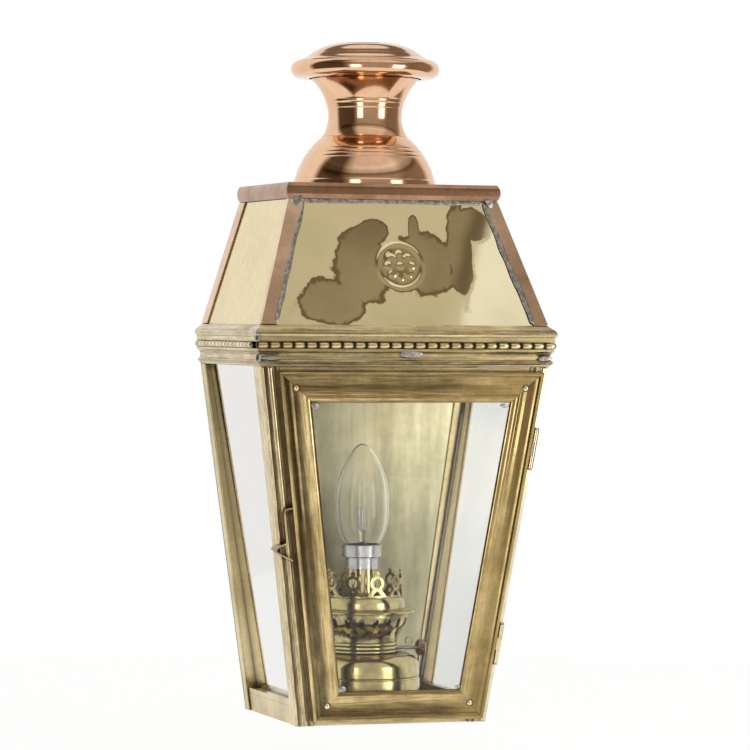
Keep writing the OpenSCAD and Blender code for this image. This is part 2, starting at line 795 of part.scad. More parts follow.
// Drum at the foot of the lamp, with a domed shoulder and a groove round its wall
module lamp_drum() {
    z0 = sheet_t + 0.05;
    groove_z = 26;
    top_r = drum_r - 1.2;
    dome_z = drum_h - 7.4;
    outer = concat([[drum_r - 1.2, z0], [drum_r, z0 + 1.2], [top_r + 0.6, groove_z - 0.8],
        [top_r - 0.2, groove_z], [top_r + 0.4, groove_z + 0.8]],
        bow([top_r, dome_z], [ring_r + 2.2, drum_h], -2.6, 8), [[8, drum_h]]);
    inner = [[8, drum_h - drum_t], [ring_r + 1, drum_h - drum_t], [top_r - 2.6, dome_z - 1],
        [top_r - 1.8, groove_z], [drum_r - 2, z0]];
    color("darkkhaki") on_lamp() {
        rotate_extrude() polygon(concat(outer, inner));
        difference() {
            translate([0, 0, z0]) cylinder(h = drum_h - z0 - 0.6, r = 4.8);
            translate([0, 0, z0 - 1]) cylinder(h = drum_h + 2, r = 3.4);
        }
        difference() {
            translate([0, 0, drum_h - drum_t]) cylinder(h = drum_t, r = 8.4);
            translate([0, 0, drum_h - 3]) cylinder(h = 4, r = 3.4);
        }
    }
}

drum_t = 1.2;

// Three moulded rings between the drum and the burner, bored for the wick shaft
module burner_ring() {
    z0 = drum_h + seat_gap;
    step = rings_h / 3;
    reed = step / 2 - 0.1;
    r = ring_r - reed;
    rings = [for (k = [0:2], q = bow([r, z0 + step * k], [r, z0 + step * (k + 1)], -reed, 5)) q];
    color("darkkhaki") on_lamp() difference() {
        rotate_extrude() polygon(concat([[ring_r - 4, z0]], rings, [[ring_r - 4, z0 + rings_h]]));
        translate([0, 0, shaft_z]) rotate([0, 90, 0]) cylinder(h = ring_r + 5, r = shaft_r + run_gap);
    }
}
shaft_r = 1.2;
shaft_z = drum_h + 2.4;
basket_z = drum_h + rings_h + fit_gap;

// Pierced basket: a narrow foot that opens to an upright gallery under the flange
module burner_basket() {
    foot_r = ring_r - 0.5;
    path = concat(bow([foot_r, 0], [foot_r + 4.2, basket_h / 2 + 0.2], 0.9, 5),
        bow([basket_r - 1.8, basket_h / 2 + 1.2], [basket_r, basket_h], -0.8, 6));
    color("peru") on_lamp() translate([0, 0, basket_z]) difference() {
        rotate_extrude() polygon(wall(path, basket_t));
        for (i = [0:basket_n - 1]) rotate([0, 0, i * 360 / basket_n]) basket_slot();
        for (i = [0:basket_n - 1]) rotate([0, 0, (i + 0.5) * 360 / basket_n])
            translate([foot_r - 5, 0, basket_h / 3])
                rotate([0, 90, 0]) cylinder(h = 14, r = hole_r, $fn = 24);
    }
}
basket_t = 1.2;
hole_r = 1.9;
slot_r = 1.9;

// Cutter for one upright slot of the basket, with round ends
module basket_slot() {
    low = 0.6 * basket_h;
    high = 0.75 * basket_h;
    for (z = [low, high])
        translate([ring_r - 4, 0, z]) rotate([0, 90, 0]) cylinder(h = 14, r = slot_r, $fn = 24);
    translate([ring_r - 4, -slot_r, low]) cube([14, 2 * slot_r, high - low]);
}
flange_z = basket_z + basket_h + seat_gap;

// Flange and plain domed collar above the basket
module burner_flange() {
    bore = tube_r + 0.3;
    under = collar_h - collar_t;
    path = concat([[flange_r - 0.8, 0], [flange_r, 0.6], [flange_r - 1, 1.4], [collar_r + 0.8, 1.9]],
        bow([collar_r, 2.4], [collar_r - 1.6, collar_h], -0.6, 8), [[bore, collar_h]]);
    inner = [[bore, under], [collar_r - 3, under], [collar_r - 1.4, 2], [basket_r - 5, 0]];
    color("darkkhaki") on_lamp() translate([0, 0, flange_z]) rotate_extrude() polygon(concat(path, inner));
}
collar_t = 1.2;
flange_top_z = flange_z + collar_h;

// Crown of standing loops on a thin band, each a ring on two spread legs
module burner_crown() {
    r = collar_r - 2.6;
    band_h = 1.2;
    color("peru") on_lamp() translate([0, 0, flange_top_z + seat_gap]) {
        rotate_extrude() polygon([[r - 2.2, 0], [r, 0], [r, band_h], [r - 2.2, band_h]]);
        for (i = [0:crown_n - 1]) rotate([0, 0, i * 360 / crown_n + crown_turn])
            translate([r - 1.6, 0, band_h - 0.4]) rotate([90, 0, 90]) crown_loop();
    }
}
crown_turn = 22.8;

// One loop of the crown, drawn flat: x along the rim, y up
module crown_loop() {
    ring_y = 9;
    linear_extrude(1.3) {
        difference() {
            translate([0, ring_y]) circle(r = 4.9, $fn = 36);
            translate([0, ring_y]) circle(r = 3, $fn = 36);
        }
        difference() {
            polygon([[-7, 0], [7, 0], [2.4, 5.8], [-2.4, 5.8]]);
            polygon([[-3.3, 0.8], [3.3, 0.8], [0, 4.2]]);
        }
        translate([0, ring_y + 6.2]) circle(r = 1.6, $fn = 24);
    }
}

// Shaft of the wick winder with its two toothed wheels
module wick_shaft() {
    color("gray") on_lamp() translate([0, 0, shaft_z]) rotate([0, 90, 0]) {
        translate([0, 0, 2]) cylinder(h = knob_x - 2 + 0.6, r = shaft_r);
        for (x = [8, 15]) translate([0, 0, x]) cylinder(h = 1, r = wheel_r, $fn = 12);
    }
}

wheel_r = 2.2;

// Ribbed knob on the end of the shaft
module wick_knob() {
    n = 16;
    l = 5;
    profile = [[0, 0], [knob_r - 1, 0], [knob_r, 0.8], [knob_r, l - 0.8], [knob_r - 1.4, l], [0, l]];
    color("sienna") on_lamp() translate([knob_x + 0.7, 0, shaft_z]) rotate([0, 90, 0]) difference() {
        rotate_extrude() polygon(profile);
        for (i = [0:n - 1]) rotate([0, 0, i * 360 / n]) translate([knob_r + 0.5, 0, -1])
            cylinder(h = l + 2, r = 0.8);
    }
}

// Plated tube of the lampholder, up from the drum, with a bayonet slot at its head
slot_z = holder_ring_z - 5.8;
module holder_tube() {
    z0 = flange_top_z - 4;
    bore = bulb_cap_r + 0.3;
    color("goldenrod") on_lamp() difference() {
        translate([0, 0, z0]) cylinder(h = cup_z - z0 - 0.05, r = tube_r);
        translate([0, 0, z0 - 1]) cylinder(h = 60, r = bore + 1.2);
    }
}
cup_z = holder_ring_z - 7.6;

// Plated upper part of the lampholder, with two bayonet slots
module holder_cup() {
    bore = bulb_cap_r + 0.3;
    z0 = flange_top_z - 2;
    color("silver") on_lamp() difference() {
        union() {
            translate([0, 0, cup_z]) cylinder(h = holder_ring_z + 1.2 - cup_z, r = tube_r);
            translate([0, 0, z0]) cylinder(h = cup_z - z0 + 1, r = bore + 1.1);
        }
        translate([0, 0, z0 + 2]) cylinder(h = 60, r = bore);
        translate([0, 0, z0 - 1]) cylinder(h = 4, r = 5.4);
        for (a = [12, 192]) rotate([0, 0, a]) {
            translate([0, 0, slot_z]) rotate_extrude(angle = 34)
                translate([bore - 2, -1.3]) square([3.3, 2.6]);
            rotate([0, 0, 34]) translate([bore - 2, -2.2, slot_z]) cube([3.2, 4.4, 20]);
        }
    }
}

// Plated ring round the neck of the bulb
module holder_ring() {
    z0 = holder_ring_z + 0.05;
    wall_t = 0.9;
    z1 = holder_ring_z + holder_ring_h;
    color("silver") on_lamp() rotate_extrude() polygon([[tube_r + 0.05, z0], [holder_ring_r, z0],
        [holder_ring_r, z1 - 0.5], [holder_ring_r - 0.5, z1], [holder_ring_r - wall_t, z1],
        [holder_ring_r - wall_t, z0 + 1], [tube_r + 0.05, z0 + 1]]);
}

// Insulating block that carries the contacts
block_z = flange_top_z + 0.1;
module contact_block() {
    color("linen") on_lamp() difference() {
        translate([0, 0, block_z]) cylinder(h = 4, r = bulb_cap_r);
        for (x = [-3.4, 3.4]) translate([x, 0, block_z - 1]) cylinder(h = 6, r = 1.3);
    }
}

// Pair of contact plungers that press on the bulb's cap
module contact_plungers() {
    color("goldenrod") on_lamp() for (x = [-3.4, 3.4]) translate([x, 0, block_z + 0.1])
        rotate_extrude($fn = 32) polygon([[0, 0], [1.2, 0], [1.2, 4.4], [1.7, 4.4], [1.7, 5.4],
            [1.2, cap_foot - block_z - 0.2], [0, cap_foot - block_z - 0.2]]);
}
cap_foot = slot_z - 8.8;

// Clear candle bulb: a hollow glass shell, drawn in to its neck
neck_foot = holder_ring_z - 0.4;
bulb_tip = holder_ring_z + holder_ring_h + bulb_h;
wide_z = neck_foot + 33;
bulb_path = concat([[bulb_cap_r - 0.6, neck_foot], [bulb_cap_r + 0.5, neck_foot + 2.5]],
    bow([bulb_cap_r + 1.4, neck_foot + 5], [bulb_r, wide_z], -2.7, 9),
    bow([bulb_r, wide_z + 0.5], [7.2, bulb_tip - 5.8], -3.4, 12),
    bow([6.9, bulb_tip - 5.3], [0.8, bulb_tip - 0.1], -0.8, 5), [[0, bulb_tip]]);

module bulb_glass() {
    inner = [for (p = shifted(bulb_path, 0.7)) [max(p[0], 0), p[1]]];
    low = [for (i = [0:len(inner) - 2]) inner[i]];
    color("lightcyan", 0.3) on_lamp() rotate_extrude()
        polygon(concat(bulb_path, [[0, bulb_tip - 1.8]], reversed(low)));
}

// Bayonet cap with two side pins
module bulb_cap() {
    color("silver") on_lamp() {
        rotate_extrude() polygon([[0, cap_foot], [bulb_cap_r - 1, cap_foot], [bulb_cap_r, cap_foot + 1],
            [bulb_cap_r, neck_foot - 0.8], [bulb_cap_r - 0.8, neck_foot - 0.1], [0, neck_foot - 0.1]]);
        rotate([0, 0, 19]) translate([-bulb_cap_r - 0.9, 0, slot_z]) rotate([0, 90, 0])
            cylinder(h = 2 * bulb_cap_r + 1.8, r = 0.95);
    }
}

// Glass stem with its flare, seated on the cap
module bulb_stem() {
    z = neck_foot;
    top = neck_foot + stem_h;
    color("lightcyan", 0.5) on_lamp() rotate_extrude($fn = 32) polygon(concat(
        [[0, z], [5.4, z], [5.2, z + 1]], bow([4.4, z + 2], [2.2, z + 9], 0.8, 4),
        [[1.7, top - 4], [2.6, top - 2], [2.2, top - 0.4], [0, top]]));
}

// Lead wires and the zigzag filament
module bulb_filament() {
    z = neck_foot + stem_h + fit_gap;
    n = 8;
    r = 4.4;
    h = 14;
    wire = 0.3;
    turn = 360 / n;
    span = 2 * r * sin(turn / 2) + wire;
    color("gray") on_lamp() {
        translate([-0.4, -0.4, z]) cube([0.8, 0.8, h + 1]);
        for (i = [0:n - 1]) rotate([0, 0, i * turn]) {
            translate([0, -wire / 2, z + (i % 2) * h]) cube([r + wire, wire, wire]);
            translate([r, -wire / 2, z]) cube([wire, wire, h + wire]);
        }
        for (i = [0:2:n - 2]) rotate([0, 0, (i + 0.5) * turn])
            translate([r * cos(turn / 2), -span / 2, z]) cube([wire, span, wire]);
    }
}
stem_h = 18.6;

back_plate();
cable_grommet();
floor_tray();
post_front_left();
post_front_right();
post_back_left();
post_back_right();
top_frame();
door_header();
pane_left();
pane_right();
pane_stop_left();
pane_stop_right();
cornice_front();
cornice_left();
cornice_right();
beads_front();
beads_left();
beads_right();
roof_front();
roof_left();
roof_right();
hip_left();
hip_right();
wall_strip_left();
wall_strip_right();
top_tray();
chimney_skirt();
chimney_neck();
chimney_cap();
cap_stays();
door_stile_left();
door_stile_right();
door_rail_top();
door_rail_bottom();
door_glass();
door_glass_clips();
door_screws();
hinge_leaves_door();
hinge_leaves_post();
hinge_pins();
door_catch();
lamp_drum();
burner_ring();
burner_basket();
burner_flange();
burner_crown();
wick_shaft();
wick_knob();
holder_tube();
holder_cup();
holder_ring();
contact_block();
contact_plungers();
bulb_glass();
bulb_cap();
bulb_stem();
bulb_filament();
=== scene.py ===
"""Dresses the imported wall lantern: studio, finishes, worked sheet, spun copper and solder.

Lengths in the sub-assembly classes are in millimetres in the row frame, where Z = 0 is the
mounting height, the wall is the plane Y = 0 and the front faces -Y. Meshes are in metres.
"""
import logging
import math
from dataclasses import dataclass
from enum import Enum
from typing import Any, Dict, Optional, Sequence, Tuple, Union

import bmesh
import bpy
import numpy as np
from mathutils import Matrix, Vector


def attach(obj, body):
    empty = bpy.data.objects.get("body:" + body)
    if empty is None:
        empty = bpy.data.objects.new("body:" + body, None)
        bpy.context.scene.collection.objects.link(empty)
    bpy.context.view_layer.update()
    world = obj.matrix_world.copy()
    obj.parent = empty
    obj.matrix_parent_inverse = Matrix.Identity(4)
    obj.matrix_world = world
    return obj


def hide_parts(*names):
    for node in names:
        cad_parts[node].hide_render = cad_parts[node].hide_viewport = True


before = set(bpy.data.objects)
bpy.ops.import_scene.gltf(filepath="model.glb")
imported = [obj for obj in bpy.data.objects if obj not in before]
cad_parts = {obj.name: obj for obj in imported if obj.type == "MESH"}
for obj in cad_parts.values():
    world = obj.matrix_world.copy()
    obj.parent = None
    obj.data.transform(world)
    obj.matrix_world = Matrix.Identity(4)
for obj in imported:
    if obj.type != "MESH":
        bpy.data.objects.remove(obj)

LOG = logging.getLogger("lantern")
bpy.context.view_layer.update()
MM = 0.001
PHOTO_PIXELS = 750
SENSOR_MM = 36.0
# The sloping front of the case: how far it leans out, the middle of its foot, half of the
# foot's width, and how much each side widens for every millimetre up the slope
LEAN = math.radians(6.15)
FOOT_Y, FOOT_Z = -114.0, -150.0
HALF_FOOT = 64.8
SPREAD = 0.14057
# The lower and the upper edge of the front roof panel: distance from the wall, and height
ROOF_LOW, ROOF_HIGH = (138.03, 107.8), (110.9, 189.6)
X_AXIS, Y_AXIS, Z_AXIS = (1.0, 0.0, 0.0), (0.0, 1.0, 0.0), (0.0, 0.0, 1.0)
# Colours of grime with painted shade in the crevices of brass and of copper
BRASS_GRIME_AND_SHADE = (0.05, 0.037, 0.018)
COPPER_GRIME_AND_SHADE = (0.10, 0.05, 0.03)
Colour = Tuple[float, float, float]
Point = Tuple[float, float, float]
# A pair holds the two ends of a step, or two values that are used together. A ramp holds the
# ends of its step and the outputs there. A grain holds a noise's waves in a metre, its octaves
# and the strength of each finer octave. A pull scales a pattern along the three axes
Pair = Tuple[float, float]
Ramp = Tuple[float, float, float, float]
Grain = Tuple[float, float, float]
Pull = Tuple[float, float, float]
Stops = Sequence[Tuple[float, float]]
Value = Union[int, float, Sequence[float], "Wire"]


# Shader expressions


class Wire:
    """A socket's output that the arithmetic operators work on, by adding Math nodes."""

    def __init__(self, bench: "Bench", socket: bpy.types.NodeSocket) -> None:
        """Keeps the bench that the socket belongs to, and the output that this wire carries."""
        self.bench = bench
        self.socket = socket

    def __add__(self, other: Value) -> "Wire":
        """Sum."""
        return self.bench.calc("ADD", self, other)

    def __radd__(self, other: Value) -> "Wire":
        """Sum, with the number first."""
        return self.bench.calc("ADD", other, self)

    def __sub__(self, other: Value) -> "Wire":
        """Difference."""
        return self.bench.calc("SUBTRACT", self, other)

    def __rsub__(self, other: Value) -> "Wire":
        """Difference, with the number first."""
        return self.bench.calc("SUBTRACT", other, self)

    def __mul__(self, other: Value) -> "Wire":
        """Product."""
        return self.bench.calc("MULTIPLY", self, other)

    def __rmul__(self, other: Value) -> "Wire":
        """Product, with the number first."""
        return self.bench.calc("MULTIPLY", other, self)

    def __truediv__(self, other: Value) -> "Wire":
        """Quotient."""
        return self.bench.calc("DIVIDE", self, other)

    def __pow__(self, other: Value) -> "Wire":
        """Power."""
        return self.bench.calc("POWER", self, other)

    def __abs__(self) -> "Wire":
        """Value without its sign."""
        return self.bench.calc("ABSOLUTE", self, 0.0)

    def larger(self, other: Value) -> "Wire":
        """The larger of the two."""
        return self.bench.calc("MAXIMUM", self, other)

    def smaller(self, other: Value) -> "Wire":
        """The smaller of the two."""
        return self.bench.calc("MINIMUM", self, other)

    def ramp(self, low: float, high: float, start: float = 0.0, end: float = 1.0) -> "Wire":
        """Smooth step from start at low to end at high.

        Args:
            low: Input at which the step begins.
            high: Input at which it is complete.
            start: Output below low.
            end: Output above high.

        Returns:
            The stepped value.
        """
        return self.bench.node(
            "ShaderNodeMapRange",
            {"interpolation_type": "SMOOTHSTEP"},
            {"Value": self, "From Min": low, "From Max": high, "To Min": start, "To Max": end},
        )


class Bench:
    """A node tree and the few calls that add nodes to it."""

    def __init__(self, tree: bpy.types.NodeTree) -> None:
        """Takes over the tree of a material or a world and empties it."""
        tree.nodes.clear()
        self.tree = tree

    def node(
        self,
        kind: str,
        settings: Optional[Dict[str, Any]] = None,
        sockets: Optional[Dict[Union[str, int], Value]] = None,
        out: Union[str, int] = 0,
    ) -> Wire:
        """Adds a node, sets it up and feeds it.

        Args:
            kind: Blender's name of the node type.
            settings: Attributes set first; "stops" fills a colour ramp with (place, value).
            sockets: Values or wires for the inputs, by name or number.
            out: The output that the returned wire carries.

        Returns:
            A wire on the chosen output.
        """
        made = self.tree.nodes.new(kind)
        for key, value in (settings or {}).items():
            if key == "stops":
                self._fill(made.color_ramp, value)
            else:
                setattr(made, key, value)
        for key, value in (sockets or {}).items():
            if isinstance(value, Wire):
                self.tree.links.new(value.socket, made.inputs[key])
            else:
                made.inputs[key].default_value = value
        return Wire(self, made.outputs[out]) if len(made.outputs) else Wire(self, None)

    @staticmethod
    def _fill(ramp: bpy.types.ColorRamp, stops: Stops) -> None:
        """Fills a ramp with grey stops.

        Args:
            ramp: The ramp of a new node, which starts with two stops.
            stops: Pairs of place and brightness, in rising order.
        """
        while len(ramp.elements) < len(stops):
            ramp.elements.new(0.5)
        for element, (place, level) in zip(ramp.elements, stops):
            element.position = place
            element.color = (level, level, level, 1.0)

    def calc(self, operation: str, a: Value, b: Value) -> Wire:
        """One Math node on two values."""
        return self.node("ShaderNodeMath", {"operation": operation}, {0: a, 1: b})

    def place(self) -> Wire:
        """The point in the piece's own coordinates, which are the row frame in metres."""
        return self.node("ShaderNodeTexCoord", out="Object")

    def stretched(self, point: Wire, scale: Sequence[float]) -> Wire:
        """The point scaled differently along the three axes."""
        return self.node("ShaderNodeMapping", sockets={"Vector": point, "Scale": tuple(scale)})

    def noise(self, point: Wire, per_metre: float, detail: float = 3.0, rough: float = 0.5) -> Wire:
        """Fractal noise about 0.5.

        Args:
            point: Where it is read.
            per_metre: Waves in a metre.
            detail: Octaves.
            rough: Strength of each finer octave.

        Returns:
            The noise value.
        """
        return self.node(
            "ShaderNodeTexNoise",
            sockets={"Vector": point, "Scale": per_metre, "Detail": detail, "Roughness": rough},
        )

    def tint(self, share: Value, low: Any, high: Any, blend: str = "MIX") -> Wire:
        """Mixes two colours.

        Args:
            share: Share of the second colour.
            low: First colour or wire.
            high: Second colour or wire.
            blend: Blender's blend mode.

        Returns:
            The mixed colour.
        """
        whole = [c if isinstance(c, Wire) else (*c, 1.0) for c in (low, high)]
        return self.node(
            "ShaderNodeMix",
            {"data_type": "RGBA", "blend_type": blend},
            {0: share, 6: whole[0], 7: whole[1]},
            out=2,
        )

    def shade(self, colour: Wire, light: Wire) -> Wire:
        """The colour times a wire's colour."""
        return self.tint(1.0, colour, light, "MULTIPLY")

    def read(self, stops: Stops, place: Wire) -> Wire:
        """Grey that is read from stops at a place from 0 to 1."""
        return self.node("ShaderNodeValToRGB", {"stops": stops}, {0: place})

    def ray(self, kind: str) -> Wire:
        """1 for one kind of ray, such as Camera or Shadow, and 0 for any other."""
        return self.node("ShaderNodeLightPath", out=f"Is {kind} Ray")

    def between(self, share: Value, first: Wire, second: Wire) -> Wire:
        """Mixes two shaders by the share of the second."""
        return self.node("ShaderNodeMixShader", {}, {0: share, 1: first, 2: second})

    def bump(self, height: Wire, metres: float, normal: Optional[Wire] = None) -> Wire:
        """A bump of the given full height.

        Args:
            height: The height's course from 0 to 1.
            metres: Full height in metres.
            normal: A normal that it is added to.

        Returns:
            The new normal.
        """
        sockets: Dict[Union[str, int], Value] = {"Height": height, "Distance": metres}
        if normal is not None:
            sockets["Normal"] = normal
        return self.node("ShaderNodeBump", {}, {**sockets, "Strength": 1.0})

    def grey(self, value: Wire) -> Wire:
        """A grey colour of the value's brightness."""
        return self.node("ShaderNodeCombineColor", sockets={0: value, 1: value, 2: value})

    def along(self, vector: Wire, direction: Sequence[float]) -> Wire:
        """How far a vector reaches along a direction."""
        both = {0: vector, 1: tuple(direction)}
        return self.node("ShaderNodeVectorMath", {"operation": "DOT_PRODUCT"}, both, "Value")

    def surface(self, shader: Wire) -> None:
        """Connects a shader to the material output."""
        self.node("ShaderNodeOutputMaterial", sockets={"Surface": shader})


def blank(name: str) -> Tuple[bpy.types.Material, Bench]:
    """Makes an empty material.

    Args:
        name: The material's name.

    Returns:
        The material and the bench on which its nodes are made.
    """
    material = bpy.data.materials.new(name)
    material.use_nodes = True
    return material, Bench(material.node_tree)


# Finishes


@dataclass(frozen=True)
class Metal:
    """A worked metal with tarnish, handling marks, slow dents, and grime with painted shade in its
    crevices.

    Shine and dull are the roughness of clean and of tarnished metal, patches the waves of
    tarnish in a metre and cover their share. Dents and scratches have heights in metres. The
    cloud, the speckle and the dents have their octaves and the strength of each finer one.
    """

    name: str
    clean: Colour
    tarnish: Colour
    shine: float
    dull: float
    patches: float = 22.0
    cover: float = 0.5
    dents: float = 0.0
    dent_scale: float = 14.0
    scratch: float = 0.0
    # Grime and painted shade in crevices: strength, reach of the occlusion ray and tone
    grime_and_shade: float = 0.0
    grime_and_shade_reach: float = 0.004
    grime_and_shade_tone: Colour = (0.07, 0.05, 0.025)
    haze: float = 0.0
    haze_rough: float = 0.40
    cover_pull: float = 0.3
    soft: float = 0.14
    finer: float = 14.0
    uneven: float = 0.16
    dirt_rough: float = 0.3
    speckle: Ramp = (0.3, 0.75, 0.94, 1.04)
    crevice: Pair = (0.25, 0.85)
    drawn: Pull = (1.0, 1.0, 0.07)
    drawn_waves: float = 1500.0
    smoothest: float = 0.03
    cloud_octaves: Pair = (5.0, 0.62)
    speckle_octaves: Pair = (4.0, 0.6)
    dent_octaves: Pair = (1.5, 0.4)
    drawn_octaves: float = 2.0
    grime_and_shade_samples: int = 6

    def build(self) -> bpy.types.Material:
        """Makes the material.

        Tarnish is a smooth step of fractal noise. It darkens the colour and dulls the gloss.
        Grime with painted shade darkens the colour and dulls the gloss where a short ambient
        occlusion ray finds other faces. Dents are slow noise and scratches are fine stretched
        noise, both through Bump. Haze is the share of a second, much rougher surface.

        Returns:
            The finished material.
        """
        material, b = blank(self.name)
        point = b.place()
        cloud = b.noise(point, self.patches, *self.cloud_octaves)
        edge = 0.5 + self.cover_pull * (0.5 - self.cover)
        mask = cloud.ramp(edge - self.soft, edge + self.soft)
        fine = b.noise(point, self.patches * self.finer, *self.speckle_octaves)
        colour = b.tint(mask, self.clean, self.tarnish)
        colour = b.shade(colour, b.grey(fine.ramp(*self.speckle)))
        rough = self.shine + (self.dull - self.shine) * mask
        rough = rough + (fine - 0.5) * (self.uneven * self.dull)
        # Wear and painted light and shade by place, from the subclasses
        colour = self.worn_and_shaded(b, point, colour)
        # Grime and painted shade: the colour darkens where a short ambient occlusion ray finds
        # other faces
        if self.grime_and_shade > 0:
            near = b.node("ShaderNodeAmbientOcclusion", {"samples": self.grime_and_shade_samples},
                          {"Distance": self.grime_and_shade_reach}, out="AO")
            dirt_and_shade = near.ramp(*self.crevice, self.grime_and_shade, 0.0)
            colour = b.tint(dirt_and_shade, colour, self.grime_and_shade_tone)
            rough = rough + self.dirt_rough * dirt_and_shade
        normal = None
        if self.dents > 0:
            slow = b.noise(point, self.dent_scale, *self.dent_octaves)
            normal = b.bump(slow, self.dents)
        if self.scratch > 0:
            along = b.stretched(point, self.drawn)
            lines = b.noise(along, self.drawn_waves, self.drawn_octaves)
            normal = b.bump(lines, self.scratch, normal)
        sockets: Dict[Union[str, int], Value] = {
            "Base Color": colour,
            "Metallic": 1.0,
            "Roughness": rough.larger(self.smoothest),
        }
        if normal is not None:
            sockets["Normal"] = normal
        shader = b.node("ShaderNodeBsdfPrincipled", sockets=sockets)
        if self.haze > 0:
            rougher = {**sockets, "Roughness": self.haze_rough}
            hazy = b.node("ShaderNodeBsdfPrincipled", sockets=rougher)
            shader = b.between(self.haze, shader, hazy)
        b.surface(shader)
        return material

    def worn_and_shaded(self, b: Bench, point: Wire, colour: Wire) -> Wire:
        """The colour after the wear and the painted light and shade that depend on the place; plain
        metal has none.
        """
        return colour


@dataclass(frozen=True)
class DoorMetal(Metal):
    """Brass of the door, with painted shade and tarnish in the hollow of its moulding and by the
    glass, a bright bead, and patches rubbed pale.

    The door's edges lie inside those of the sloping front by free_inset and hinge_inset and
    run from low to high up the slope, in metres. Strand is how slowly the streaks change along
    the moulding and how far apart the uprights' and the rails' noises lie. The other values say
    how much more the metal is rubbed on the hinge side and on the rails, and how much fainter
    or darker it is there.
    """

    free_inset: float = 0.0109
    hinge_inset: float = 0.004
    low: float = 0.003
    high: float = 0.23034
    width: float = 0.0215
    # Brightness by distance from the outer edge: painted shade and tarnish, darkest in the hollow
    # and by the glass
    tones: Stops = (
        (0.0, 1.0), (0.05, 1.0), (0.09, 0.42), (0.26, 0.20), (0.46, 0.22), (0.56, 0.62),
        (0.64, 1.0), (0.80, 1.0), (0.86, 0.45), (0.92, 0.22), (0.96, 0.50), (1.0, 1.0))
    wander: float = 0.06
    handled: Ramp = (0.40, 0.80, 0.0, 0.25)
    handled_tone: Colour = (1.0, 0.95, 0.82)
    streaks: Ramp = (0.30, 0.70, 0.62, 1.22)
    wander_grain: Grain = (30.0, 3.0, 0.6)
    handled_grain: Grain = (70.0, 4.0, 0.65)
    streak_grain: Grain = (900.0, 3.0, 0.6)
    strand: Pair = (0.05, 0.1)
    hinge_from: Pair = (0.030, 0.055)
    hinge_rub: float = 0.60
    hinge_calm: float = 0.6
    hinge_lift: float = 0.55
    hinge_dim: float = 0.14
    rail_rub: float = 0.24
    rail_dim: float = 0.10

    def worn_and_shaded(self, b: Bench, point: Wire, colour: Wire) -> Wire:
        """Paints shade and tarnish into the hollow and along the inner edge, along lines parallel
        to the door's edges.

        With s the distance up the sloping front, the outer edges are the lines x = -(h + k s) +
        inset, x = h + k s - inset, s = low and s = high. The least distance from the four runs
        from the outer edge to the glass and reads the painted shade tones; streaks of noise break
        them up.

        Args:
            b: The material's bench.
            point: Place in the row frame.
            colour: Colour so far.

        Returns:
            The colour with its painted shade, tarnish and wear.
        """
        shift = -(math.cos(LEAN) * FOOT_Z - math.sin(LEAN) * FOOT_Y) * MM
        s = b.along(point, (0.0, -math.sin(LEAN), math.cos(LEAN))) + shift
        x = b.along(point, X_AXIS)
        edge = s * SPREAD + HALF_FOOT * MM
        cosine = math.cos(math.atan(SPREAD))
        left = (x + edge - self.free_inset) * cosine
        right = (edge - x - self.hinge_inset) * cosine
        sides = left.smaller(right)
        ends = (s - self.low).smaller(self.high - s)
        wander = (b.noise(point, *self.wander_grain) - 0.5) * self.wander
        least = sides.smaller(ends)
        # Painted shade and tarnish: tones darken the hollow of the moulding and the edge by the
        # glass
        tone = b.read(self.tones, least / self.width + wander)
        upright = b.calc("LESS_THAN", sides, ends)
        run = s * upright + x * (1.0 - upright)
        slowly, apart = self.strand
        drawn = b.node("ShaderNodeCombineXYZ",
                       sockets={0: least, 1: run * slowly, 2: upright * apart})
        streak = b.noise(drawn, *self.streak_grain).ramp(*self.streaks)
        rubbed = b.noise(point, *self.handled_grain).ramp(*self.handled)
        hinge = x.ramp(*self.hinge_from)
        rubbed = rubbed + hinge * self.hinge_rub + (1.0 - upright) * self.rail_rub
        light = streak * (1.0 - hinge * self.hinge_calm) + hinge * self.hinge_lift
        light = light * (1.0 - hinge * self.hinge_dim)
        light = light * (1.0 - self.rail_dim + upright * self.rail_dim)
        worn = b.shade(b.tint(rubbed, tone, self.handled_tone), b.grey(light))
        return b.shade(colour, worn)


@dataclass(frozen=True)
class BeadMetal(Metal):
    """Brass of a bead row, with painted shade between one bead and the next and on its faces that
    look up and down, and a faint painted highlight on each crown.
    """

    patches: float = 60.0
    grime_and_shade: float = 0.97
    grime_and_shade_reach: float = 0.0035
    grime_and_shade_tone: Colour = (0.03, 0.022, 0.01)
    pitch: float = 0.00811
    along_y: bool = False
    start_y: float = -0.0015
    # Brightness of the painted shade between beads, of the painted highlight on their crowns, and
    # the steps of both
    gap_shade: float = 0.05
    crown: float = 1.1
    gap_shade_from: Pair = (0.18, 0.80)
    shade_from: Ramp = (0.45, 0.95, 1.0, 0.45)

    def worn_and_shaded(self, b: Bench, point: Wire, colour: Wire) -> Wire:
        """Paints shade into the gaps and onto faces that look up and down, and a faint highlight on
        each bead's crown.

        The painted shade lies where |cos(pi q / pitch)| is small for the distance q along the row.

        Args:
            b: The material's bench.
            point: Place in the row frame.
            colour: Colour so far.

        Returns:
            The colour with its painted shade and highlight.
        """
        axis = Y_AXIS if self.along_y else X_AXIS
        shift = self.pitch / 2 - self.start_y if self.along_y else 0.0
        turn = (b.along(point, axis) + shift) * (math.pi / self.pitch)
        wave = abs(b.calc("COSINE", turn, 0.0))
        rise = abs(b.along(b.node("ShaderNodeNewGeometry", out="Normal"), Z_AXIS))
        # Painted shade between the beads and on faces that look up and down, painted highlight on
        # the crowns
        light = wave.ramp(*self.gap_shade_from, self.gap_shade, self.crown) * rise.ramp(*self.shade_from)
        return b.shade(colour, b.grey(light))


